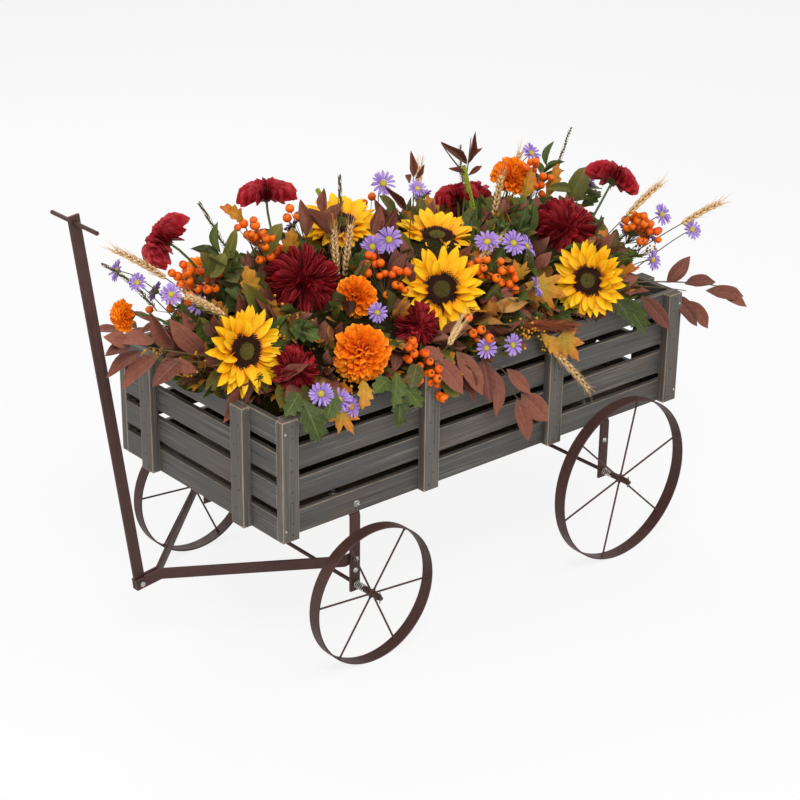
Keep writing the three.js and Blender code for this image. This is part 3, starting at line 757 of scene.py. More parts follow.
keepShape("Maple", mapleMesh())
circle = [(0.5 * math.sin(math.pi * i / 8), -0.5 * math.cos(math.pi * i / 8)) for i in range(1, 8)]
turnedShape("Berry", [(0, -0.5)] + circle + [(0.1, 0.5), (0.05, 0.47), (0, 0.47)], 12)
turnedShape("Bud", [(0, -0.5), (0.35, -0.35), (0.5, 0), (0.35, 0.36), (0, 0.5)], 6)
turnedShape("Floret", [(0, -0.3), (0.42, 0), (0.5, 0.6), (0.28, 1), (0, 0.9)], 5)
turnedShape("Kernel", [(0, 0), (0.36, 0.14), (0.5, 0.4), (0.34, 0.78), (0, 1)], 6)
turnedShape("Awn", [(0, 0), (0.5, 0.02), (0.4, 0.6), (0, 1)], 3)
turnedShape("Heart", [(0, -0.1), (0.5, -0.1), (0.5, 0.04), (0.42, 0.16), (0.22, 0.24), (0, 0.26)], 16)
turnedShape("Cup", [(0, 0), (0.14, 0), (0.34, 0.2), (0.5, 0.46), (0.46, 0.5), (0, 0.42)], 12)
print("plant shapes:", len(shapes))


def plantFinish(name, look):
    finish, graph, feed = newFinish(name, {"Specular IOR Level": look.get("gloss", 0.3)})

    def washed(base, where, key):  # the look's colour of that name over the base
        share, *colour = look[key]
        return graph.mix(where * share, base, tint(*colour))

    along, across = graph.attribute("along"), graph.attribute("across")
    tone, under = graph.attribute("tone"), graph.attribute("under")
    side = graph.node("ShaderNodeMath", {"operation": "ABSOLUTE"}, {0: across})
    base = graph.ramp(along, [(place, tint(*colour)) for place, *colour in look["stops"]])
    base = washed(base, graph.between(tone, 0.2, 0.95), "tone")
    lineAt = graph.node("ShaderNodeCombineXYZ", None,
                        {0: across * look.get("lines", 4.0), 1: along * 2.4, 2: tone * 37.0})
    lines = graph.noise(lineAt, 1.0, 2.0)
    base = washed(base, graph.between(lines, 0.48, 0.74), "line")
    relief = lines * 0.5
    if "vein" in look:
        slant = (along * look["veinCount"] - side * look["veinSlant"]) * (2 * math.pi)
        wave = graph.node("ShaderNodeMath", {"operation": "SINE"}, {0: slant})
        veins = graph.between(wave, 0.86, 1.0) * 0.5 + graph.between(side, 0.1, 0.02)
        base = washed(base, veins, "vein")
        relief = relief + veins
    place = graph.node("ShaderNodeTexCoord", out="Object")
    blotch = graph.noise(place, look.get("blotchScale", 90.0), 3.0, 0.6)
    base = washed(base, graph.between(blotch, 0.48, 0.72), "blotch")
    if "under" in look:
        base = washed(base, under, "under")
    # rim: the petals' paler margins with a painted highlight along each blade's edges
    if "rim" in look:
        base = washed(base, graph.between(side, 0.45, 1.0), "rim")
    feed(colour=base, roughness=graph.between(blotch, 0.3, 0.7, *look.get("roughness", (0.5, 0.68))))
    feed(normal=graph.bump(relief, look.get("bump", 0.35), 0.0008))
    return finish


plantLooks = {  # colours are a place or share, then red, green and blue
    "sunPetal": {
        "stops": [(0, 222, 110, 4), (0.2, 250, 160, 6), (0.45, 255, 198, 14), (1, 255, 214, 30)],
        "tone": (0.45, 252, 178, 8), "line": (0.45, 242, 148, 4), "blotch": (0.12, 255, 226, 90),
        "under": (0.35, 206, 150, 30), "lines": 6.0, "bump": 0.5,
    },
    "sunDisc": {
        "stops": [(0, 18, 8, 6), (0.5, 42, 20, 14), (1, 74, 40, 26)], "tone": (0.0, 60, 34, 20),
        "line": (0.3, 34, 20, 14), "blotch": (0.3, 96, 60, 34), "blotchScale": 400.0,
        "roughness": (0.7, 0.85),
    },
    "sunHeart": {
        "stops": [(0, 30, 24, 10), (0.5, 70, 62, 24), (1, 122, 112, 46)], "tone": (0.6, 64, 48, 22),
        "line": (0.2, 60, 50, 22), "blotch": (0.3, 140, 128, 64), "blotchScale": 400.0,
        "roughness": (0.7, 0.85),
    },
    "mumPetal": {
        "stops": [(0, 44, 0, 6), (0.35, 106, 4, 14), (0.7, 158, 12, 26), (1, 192, 36, 46)],
        "tone": (0.8, 96, 2, 14), "line": (0.3, 190, 50, 60), "blotch": (0.1, 96, 4, 16),
        # rim: paler petal margins with a painted highlight on the petal edges
        "under": (0.5, 184, 44, 54), "rim": (0.75, 208, 74, 82), "lines": 3.0,
    },
    "marigoldPetal": {
        "stops": [(0, 214, 66, 0), (0.4, 252, 112, 2), (0.85, 255, 146, 10), (1, 255, 174, 40)],
        "tone": (0.4, 248, 104, 2), "line": (0.3, 255, 166, 44), "blotch": (0.15, 255, 158, 26),
        "under": (0.3, 236, 100, 8), "lines": 3.0,
    },
    "asterPetal": {
        "stops": [(0, 140, 104, 184), (0.4, 164, 130, 206), (1, 190, 160, 226)],
        "tone": (0.5, 148, 110, 186), "line": (0.4, 204, 180, 232), "blotch": (0.15, 136, 98, 176),
        "lines": 3.0,
    },
    "asterHeart": {
        "stops": [(0, 110, 110, 24), (0.6, 178, 160, 38), (1, 206, 184, 60)], "tone": (0.3, 150, 150, 40),
        "line": (0.2, 226, 200, 80), "blotch": (0.5, 120, 112, 24), "blotchScale": 900.0, "bump": 0.8,
        "roughness": (0.7, 0.85),
    },
    "reddishLeaf": {
        "stops": [(0, 110, 76, 54), (0.3, 128, 72, 56), (1, 142, 82, 62)], "tone": (0.7, 74, 34, 28),
        "line": (0.25, 156, 100, 78), "blotch": (0.4, 106, 60, 46), "under": (0.5, 162, 112, 92),
        "vein": (0.3, 172, 124, 98), "veinCount": 7.0, "veinSlant": 1.2, "roughness": (0.6, 0.8),
    },
    "greenLeaf": {
        "stops": [(0, 78, 94, 34), (0.5, 66, 84, 28), (1, 80, 96, 32)], "tone": (0.8, 38, 48, 18),
        "line": (0.2, 98, 112, 48), "blotch": (0.4, 104, 98, 36), "under": (0.5, 116, 128, 72),
        "vein": (0.35, 134, 144, 74), "veinCount": 3.5, "veinSlant": 1.0,
    },
    "oliveLeaf": {
        "stops": [(0, 92, 96, 34), (0.6, 92, 92, 32), (1, 118, 104, 38)], "tone": (0.8, 50, 54, 22),
        "line": (0.2, 128, 126, 60), "blotch": (0.4, 134, 98, 36), "under": (0.5, 130, 130, 80),
        "vein": (0.3, 148, 142, 80), "veinCount": 5.0, "veinSlant": 1.2,
    },
    "goldLeaf": {
        "stops": [(0, 150, 132, 38), (0.4, 190, 130, 34), (0.75, 198, 112, 30), (1, 180, 78, 26)],
        "tone": (0.5, 176, 138, 38), "line": (0.2, 210, 146, 50), "blotch": (0.5, 140, 84, 28),
        "under": (0.4, 190, 146, 78), "vein": (0.4, 222, 172, 84), "veinCount": 3.0, "veinSlant": 0.5,
    },
    "tanLeaf": {
        "stops": [(0, 160, 118, 52), (0.5, 188, 138, 66), (1, 178, 112, 50)], "tone": (0.4, 150, 104, 48),
        "line": (0.3, 206, 162, 92), "blotch": (0.35, 146, 96, 40), "vein": (0.3, 214, 170, 100),
        "veinCount": 6.0, "veinSlant": 1.2,
    },
    "berry": {
        "stops": [(0, 216, 70, 0), (0.5, 238, 104, 0), (0.93, 246, 122, 2), (0.98, 60, 24, 8)],
        "tone": (0.6, 228, 74, 0), "line": (0.12, 250, 140, 20), "blotch": (0.3, 216, 70, 0), "gloss": 0.26,
        "roughness": (0.32, 0.46), "bump": 0.12,
    },
    "straw": {
        "stops": [(0, 184, 144, 92), (0.5, 222, 182, 126), (1, 236, 208, 158)],
        "tone": (0.35, 206, 160, 104), "line": (0.3, 236, 214, 168), "blotch": (0.25, 158, 122, 76),
        "lines": 8.0, "roughness": (0.6, 0.78),
    },
    "plume": {
        "stops": [(0, 120, 60, 30), (1, 150, 76, 40)], "tone": (0.6, 104, 46, 26),
        "line": (0.3, 176, 104, 60), "blotch": (0.3, 92, 42, 24), "roughness": (0.7, 0.85),
    },
    "spike": {
        "stops": [(0, 120, 134, 30), (1, 176, 186, 62)], "tone": (0.6, 136, 160, 40),
        "line": (0.3, 196, 200, 90), "blotch": (0.3, 104, 120, 30), "roughness": (0.6, 0.8),
    },
    "mustard": {
        "stops": [(0, 120, 110, 30), (0.5, 190, 132, 26), (1, 216, 150, 36)], "tone": (0.5, 186, 108, 20),
        "line": (0.2, 226, 176, 70), "blotch": (0.3, 150, 100, 24),
    },
    "greenStem": {
        "stops": [(0, 58, 70, 30), (1, 92, 110, 52)], "tone": (0.5, 76, 88, 48),
        "line": (0.3, 112, 128, 70), "blotch": (0.3, 60, 66, 30),
    },
    "brownStem": {
        "stops": [(0, 62, 46, 32), (1, 120, 96, 62)], "tone": (0.5, 104, 98, 52),
        "line": (0.3, 140, 116, 80), "blotch": (0.3, 70, 48, 32),
    },
    "sprig": {
        "stops": [(0, 84, 84, 46), (1, 116, 114, 66)], "tone": (0.6, 118, 84, 54),
        "line": (0.2, 130, 130, 84), "blotch": (0.3, 66, 66, 40),
    },
}
plants = {name: plantFinish(name, look) for name, look in plantLooks.items()}
dressing = {  # shape, finish and slot of each kind of copy
    "sunPetals": ("SunPetal", "sunPetal", "sun_yellow"),
    "sunCurls": ("SunPetalCurled", "sunPetal", "sun_yellow"),
    "discFlorets": ("Floret", "sunDisc", "sun_yellow"),
    "heartFlorets": ("Floret", "sunHeart", "sun_yellow"),
    "discs": ("Heart", "sunDisc", "sun_yellow"),
    "cups": ("Cup", "greenStem", "leaves"),
    "sepals": ("Lance", "oliveLeaf", "leaves"),
    "mumPetals": ("MumPetal", "mumPetal", "burgundy"),
    "mumRays": ("MumPetalOut", "mumPetal", "burgundy"),
    "frills": ("FrillPetal", "marigoldPetal", "sun_yellow"),
    "asterRays": ("AsterPetal", "asterPetal", "leaves"),
    "asterHearts": ("Heart", "asterHeart", "sun_yellow"),
    "reddishLeaves": ("Broad", "reddishLeaf", "reddish_leaves"),
    "tanLeaves": ("Broad", "tanLeaf", "leaves"),
    "reddishCurls": ("BroadCurled", "reddishLeaf", "reddish_leaves"),
    "lobedLeaves": ("Lobed", "greenLeaf", "leaves"),
    "oliveLeaves": ("Ovate", "oliveLeaf", "leaves"),
    "greenLances": ("Lance", "greenLeaf", "leaves"),
    "goldLeaves": ("Maple", "goldLeaf", "leaves"),
    "oakLeaves": ("Lobed", "goldLeaf", "leaves"),
    "berries": ("Berry", "berry", "leaves"),
    "kernels": ("Kernel", "straw", "leaves"),
    "awns": ("Awn", "straw", "leaves"),
    "plumes": ("Awn", "plume", "leaves"),
    "spikeBuds": ("Bud", "spike", "leaves"),
    "mustardBuds": ("Bud", "mustard", "leaves"),
    "sprigNeedles": ("Needle", "sprig", "leaves"),
}
grown = {}
stems = {}


def kindOf(piece, kind):
    return grown.setdefault((piece, kind), Copies())


def addStem(piece, finish, path, first, last=None, sides=6):
    radii = np.linspace(first, first if last is None else last, len(path))
    points, faces = tube(path, radii, sides)
    stems.setdefault((piece, finish), []).append((points, faces, len(path), sides, chance.random()))


def curve(a, b, c, steps=6):
    a, b, c = Vector(a), Vector(b), Vector(c)
    shares = [i / steps for i in range(steps + 1)]
    return [a * (1 - t) ** 2 + b * (2 * t * (1 - t)) + c * t * t for t in shares]


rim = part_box("left_slat_4")[1].z
golden = math.pi * (3 - math.sqrt(5))
ringTwist = 12  # degrees by which a petal may roll


def cart(x, y, high):  # millimetres from the middle of the crate, and above its rim
    return Vector((cartX + x / 1000, y / 1000, rim + high / 1000))


def around(facing):
    facing = Vector(facing).normalized()
    side = facing.orthogonal().normalized()
    return facing, side, facing.cross(side)


def aside(side, other, angle):  # a direction square to a head or a stem
    return side * math.cos(angle) + other * math.sin(angle)


def scatter(source, width):
    return Vector([source.gauss(0, width) for _ in range(3)])


def rootOf(at, shareX, shareY, z):  # where a stem starts: nearer the middle of the crate than its head
    return Vector((cartX + (at.x - cartX) * shareX, at.y * shareY, z))


def ringOf(group, at, facing, look):
    facing, side, other = around(facing)
    start = chance.uniform(0, 2 * math.pi)
    for i in range(look["count"]):
        a = start + 2 * math.pi * (i + chance.uniform(-0.22, 0.22)) / look["count"]
        out = aside(side, other, a)
        tilt = math.radians(chance.gauss(look["tilt"], look["tiltSpread"]))
        along = out * math.cos(tilt) + facing * math.sin(tilt)
        upper = facing * math.cos(tilt) - out * math.sin(tilt)
        upper = Matrix.Rotation(math.radians(chance.gauss(0, ringTwist)), 3, along) @ upper
        length = look["length"] * chance.uniform(0.88, 1.06)
        width = look["width"] * chance.uniform(0.85, 1.12)
        group.add(at + out * look["reach"] + facing * look["lift"], along, upper, (width, length, length),
                  chance.random())


def pompon(group, rays, at, facing, radius, look):
    facing, side, other = around(facing)
    start = chance.uniform(0, 2 * math.pi)
    for i in range(look["count"]):
        k = math.sqrt((i + 0.5) / look["count"])
        a = start + i * golden + chance.uniform(-0.15, 0.15)
        out = aside(side, other, a)
        polar = math.radians(look["spread"] * k ** look["power"] + chance.gauss(0, look["stray"]))
        along = facing * math.cos(polar) + out * math.sin(polar)
        upper = facing * math.sin(polar) - out * math.cos(polar)
        upper = Matrix.Rotation(math.radians(chance.gauss(0, look["twist"])), 3, along) @ upper
        length = radius * (look["inner"] + (look["outer"] - look["inner"]) * k) * chance.uniform(0.86, 1.08)
        width = radius * look["width"] * (0.65 + 0.4 * k) * chance.uniform(0.9, 1.1)
        base = at + facing * (radius * look["core"]) + out * (radius * look["hub"] * k)
        target = rays if k > look["turnOut"] else group
        target.add(base, along, upper, (width, length, length), chance.random() * 0.6 + 0.4 * (1 - k))


def headStem(piece, at, facing, girth=0.0026):
    facing = Vector(facing).normalized()
    root = rootOf(at, 0.72, 0.6, rim - 0.03)
    middle = at - facing * (0.3 * (at - root).length)
    addStem(piece, "greenStem", curve(at, middle, root, 8), girth * 0.9, girth * 1.1, 8)


def addCup(piece, at, facing, side, width, length, tone):  # the green cup behind a head
    kindOf(piece, "cups").add(at, facing, side, (width, length, width), tone)


keepOut = []  # centres and radii of the heads, which the filling leaves stay clear of
openHeads = []  # heads that look out freely: centre, direction and radius
sun = {
    "disc": 0.216, "petalWidth": 0.126, "floret": 0.0026,
    "rings": [  # tilt, petals, share of the full length, kind
        (4, 18, 1.12, "sunPetals"), (13, 18, 1.06, "sunPetals"), (24, 13, 0.9, "sunPetals"),
        (44, 4, 0.66, "sunCurls"),
    ],
    "florets": [  # kind, count, inner and outer edge as shares of the disc, height
        ("discFlorets", 340, 0.45, 1.06, 0.0062), ("heartFlorets", 190, 0.0, 0.47, 0.0034),
    ],
}


def sunflower(piece, at, facing, size):
    facing, side, other = around(facing)
    disc = sun["disc"] * size
    at = at + facing * 0.009
    foot = disc * 0.82
    long = size / 2 - foot
    for tilt, count, share, kind in sun["rings"]:
        ringOf(kindOf(piece, kind), at, facing,
               {"count": count, "tilt": tilt, "tiltSpread": 6, "length": long * share, "reach": foot,
                "width": size * sun["petalWidth"], "lift": 0.001 + tilt * 0.0001})
    plate = (disc * 2.06, disc * 1.12, disc * 2.06)
    kindOf(piece, "discs").add(at - facing * 0.001, facing, side, plate, 0.2)
    for kind, count, first, last, high in sun["florets"]:
        for i in range(count):
            k = math.sqrt(first ** 2 + (last ** 2 - first ** 2) * (i + 0.5) / count)
            out = aside(side, other, i * golden)
            along = (facing + out * (0.5 * k if first else 0.1)).normalized()
            dome = disc * (0.3 - 0.24 * k * k) + (0.001 if first else 0)
            grain = (sun["floret"], high * chance.uniform(0.8, 1.2), sun["floret"])
            kindOf(piece, kind).add(at + out * disc * k + facing * dome, along, side, grain, chance.random())
    ringOf(kindOf(piece, "sepals"), at, facing,
           {"count": 13, "tilt": -8, "tiltSpread": 8, "length": size * 0.24, "reach": disc * 0.7,
            "width": size * 0.07, "lift": -0.004})
    addCup(piece, at - facing * 0.02, facing, side, disc * 2.2, 0.05, 0.4)
    keepOut.append((at + facing * 0.015, size * 0.5))
    openHeads.append((at, facing, size * 0.42))
    headStem(piece, at - facing * 0.018, facing, 0.0032)


mumLook = {
    "count": 210, "spread": 98, "power": 0.8, "inner": 0.46, "outer": 0.9, "width": 0.086, "core": 0.1,
    "hub": 0.16, "turnOut": 0.5, "twist": 14, "stray": 6,
}
smallMumLook = {**mumLook, "count": 150, "width": 0.108}


def mum(piece, at, facing, size):
    radius = size / 2
    look = mumLook if size > 0.11 else smallMumLook
    pompon(kindOf(piece, "mumPetals"), kindOf(piece, "mumRays"), at, facing, radius, look)
    facing, side, _ = around(facing)
    addCup(piece, at - facing * 0.004, facing, side, radius * 0.62, radius * 0.5, 0.6)
    ringOf(kindOf(piece, "sepals"), at, facing,
           {"count": 9, "tilt": 8, "tiltSpread": 8, "length": size * 0.2, "reach": radius * 0.12,
            "width": size * 0.06, "lift": 0.002})
    keepOut.append((at + facing * radius * 0.35, radius))
    openHeads.append((at, facing, radius * 0.8))
    headStem(piece, at, facing)


frillLook = {
    "count": 150, "spread": 120, "power": 0.95, "inner": 0.6, "outer": 0.7, "width": 0.3, "core": 0.42,
    "hub": 0.2, "turnOut": 2, "twist": 22, "stray": 3,
}


def marigold(piece, at, facing, size):
    radius = size / 2
    group = kindOf(piece, "frills")
    pompon(group, group, at, facing, radius, frillLook)
    facing, side, _ = around(facing)
    addCup(piece, at - facing * 0.01, facing, side, radius * 0.8, radius * 0.9, 0.5)
    keepOut.append((at + facing * radius * 0.6, radius))
    headStem(piece, at - facing * 0.008, facing)


def aster(piece, at, facing, size):
    facing, side, _ = around(facing)
    for tilt, count in ((6, 14), (16, 12)):
        ringOf(kindOf(piece, "asterRays"), at, facing,
               {"count": count, "tilt": tilt, "tiltSpread": 7, "length": size * 0.38, "reach": size * 0.11,
                "width": size * 0.105, "lift": 0.001})
    heart = (size * 0.27, size * 0.3, size * 0.27)
    kindOf(piece, "asterHearts").add(at + facing * 0.001, facing, side, heart, chance.random())
    addCup(piece, at - facing * size * 0.14, facing, side, size * 0.26, size * 0.32, 0.7)
    keepOut.append((at, size * 0.42))
    headStem(piece, at - facing * size * 0.13, facing, 0.0011)


pickedSunflowers = [  # x, y and height in millimetres, width, direction
    (-504, -109, 86, 162, (0, -1, 0.25)), (-129, 65, 192, 156, (-0.2, -0.3, 1)),
    (78, 8, 133, 168, (-0.1, -0.2, 1)), (-39, -140, 102, 166, (-0.6, -0.8, 0.55)),
    (278, -240, 79, 153, (-1, -0.5, 0.3)),
]
pickedMums = [(-291, -21, 140, 150, (-0.5, -0.8, 0.6)), (370, -60, 112, 145, (-0.3, -0.8, 0.6))]
bedMums = [
    (-246, 151, 255, 120, (0.1, 0.2, 1)), (-493, 130, 226, 120, (-0.7, 0.4, 0.55)),
    (-151, -195, 74, 92, (-0.4, -0.9, 0.3)), (498, -75, 198, 120, (0.6, 0, 0.8)),
    (-431, -174, 51, 92, (-0.3, -0.9, 0.3)), (213, 96, 175, 100, (0, 0.3, 1)),
    (-62, 205, 95, 120, (0, 1, 0.5)), (330, 190, 110, 120, (0.3, 1, 0.5)),
]
bedMarigolds = [
    (-302, -205, 61, 132, (-0.4, -0.9, 0.3)), (-224, -99, 117, 100, (-0.5, -0.7, 0.5)),
    (364, 96, 180, 112, (-0.2, -0.5, 0.9)), (543, -99, 86, 92, (0.6, -0.5, 0.5)),
    (-594, 120, 108, 76, (-1, 0.1, 0.1)), (-353, 205, 89, 116, (-0.2, 1, 0.4)),
    (118, 211, 82, 116, (0.1, 1, 0.4)),
]
bedAsters = [
    (-605, 140, 193, 48, (-0.9, 0.2, 0.3)), (11, 99, 250, 56, (-0.3, -0.8, 0.5)),
    (426, 99, 234, 50, (0.1, -0.7, 0.6)), (566, -161, 135, 52, (0.1, -0.8, 0.5)),
    (622, -200, 100, 50, (-0.1, -0.8, 0.5)), (-437, -263, 33, 50, (-0.5, -0.8, 0.3)),
    (498, 169, 121, 50, (0.4, 0.6, 0.6)), (-100, -52, 196, 58, (-0.6, -0.7, 0.6)),
    (-140, -50, 190, 52, (-0.8, -0.4, 0.5)), (-36, -61, 290, 40, (-0.2, -0.6, 0.8)),
    (76, -146, 178, 58, (-0.4, -0.3, 0.9)), (136, -158, 166, 56, (-0.2, -0.8, 0.6)),
    (170, -160, 152, 58, (0.5, -0.8, 0.5)), (122, -240, 100, 50, (0.7, -0.7, 0.4)),
    (520, -185, 50, 50, (0.2, -1, 0.3)), (548, -150, 88, 44, (0.5, -0.6, 0.6)),
    (-394, -262, 8, 50, (-0.5, -0.8, 0.4)), (-372, -268, -10, 48, (0.3, -0.9, 0.4)),
    (-40, -276, 24, 46, (-0.4, -0.9, 0.3)), (30, -276, 12, 48, (0, -1, 0.3)),
    (-480, 60, 118, 44, (-0.6, -0.6, 0.5)), (-600, 80, 186, 40, (-0.7, -0.5, 0.6)),
    (-560, 30, 168, 46, (-0.5, -0.7, 0.5)), (-236, -180, 116, 44, (-0.2, -0.8, 0.5)),
    (-230, 236, 70, 48, (-0.2, 1, 0.4)), (20, 244, 74, 46, (0.2, 1, 0.3)),
    (228, 236, 66, 48, (-0.1, 1, 0.4)), (420, 226, 84, 46, (0.3, 1, 0.4)),
    (-470, 216, 96, 46, (-0.4, 0.9, 0.4)), (560, 60, 150, 46, (0.8, 0.3, 0.6)),
    (-150, 190, 170, 46, (-0.2, 0.7, 0.7)), (200, 190, 160, 44, (0.1, 0.8, 0.6)),
    (590, -40, 60, 46, (1, 0, 0.4)),
]
for number, (x, y, high, size, facing) in enumerate(pickedSunflowers):
    sunflower(f"sunflower{number + 1}", cart(x, y, high), facing, size / 1000)
for number, (x, y, high, size, facing) in enumerate(pickedMums):
    mum(f"mum{number + 1}", cart(x, y, high), facing, size / 1000)
for make, heads in ((mum, bedMums), (marigold, bedMarigolds), (aster, bedAsters)):
    for x, y, high, size, facing in heads:
        make("bed", cart(x, y, high), facing, size / 1000)
print("flower heads:", len(keepOut))

sprayLooks = [  # kind, foot, bend, tip, leaf length, leaf width, leaves
    ("reddishLeaves", (-400, 120, 19), (-480, 150, 60), (-560, 200, 40), 74, 28, 5),
    ("reddishLeaves", (398, 120, 19), (520, 160, 60), (650, 216, 40), 84, 30, 6),
    ("reddishLeaves", (-151, 130, 30), (-162, 272, 60), (-180, 280, -20), 74, 28, 5),
    ("reddishLeaves", (218, 130, 30), (235, 272, 60), (250, 280, -30), 74, 28, 5),
    ("reddishCurls", (-300, 180, 40), (-310, 250, 70), (-340, 274, 20), 70, 26, 4),
    ("reddishCurls", (-170, 30, 60), (-190, 30, 190), (-185, 40, 240), 64, 25, 3),
    ("greenLances", (-380, 60, 60), (-420, 60, 170), (-430, 50, 214), 76, 22, 5),
    ("greenLances", (380, 70, 60), (430, 80, 150), (466, 90, 200), 64, 20, 5),
    ("oliveLeaves", (360, 40, 60), (480, 60, 120), (560, 60, 132), 60, 30, 5),
    ("oliveLeaves", (-330, 30, 60), (-400, 40, 140), (-440, 30, 186), 56, 32, 6),
    ("oliveLeaves", (-60, 180, 40), (-100, 230, 120), (-140, 250, 120), 62, 34, 6),
]
laidStems = [  # tip, bend and foot; the first is the front spray's
    ((-725, -82, 150), (-620, -78, 96), (-420, -31, 19)),
    ((-690, -80, 112), (-590, -70, 70), (-400, -50, 10)),
    ((745, -226, -60), (640, -212, -10), (420, -150, 10)),
    ((560, -250, -10), (500, -230, 10), (400, -150, 10)),
    ((45, -282, -105), (-5, -270, -40), (-20, -140, 30)),
    ((58, -281, -96), (10, -268, -30), (-10, -140, 30)), ((62, -230, 56), (0, -190, 50), (-10, -110, 40)),
    ((-480, -150, 10), (-430, -130, 30), (-380, -90, 20)), ((58, 60, 262), (60, 60, 180), (50, 50, 90)),
    ((214, 60, 318), (204, 60, 240), (190, 60, 90)), ((132, 60, 322), (170, 60, 270), (204, 60, 240)),
    ((-338, 100, 246), (-330, 90, 180), (-300, 60, 90)),
    ((-496, -150, 44), (-450, -130, 44), (-380, -90, 20)),
    ((-270, -6, 226), (-262, 0, 170), (-240, 10, 90)), ((-96, -8, 192), (-96, 0, 140), (-90, 10, 80)),
]
frontLeaves = [  # kind, foot, tip, width
    ("reddishLeaves", (-732, -84, 152), (-785, -88, 178), 30),
    ("reddishLeaves", (-676, -82, 140), (-762, -88, 160), 36),
    ("reddishLeaves", (-728, -84, 146), (-784, -90, 142), 28),
    ("reddishLeaves", (-700, -80, 126), (-782, -88, 98), 32),
    ("reddishLeaves", (-668, -80, 112), (-748, -84, 66), 38),
    ("reddishLeaves", (-618, -80, 88), (-684, -84, 54), 36),
]
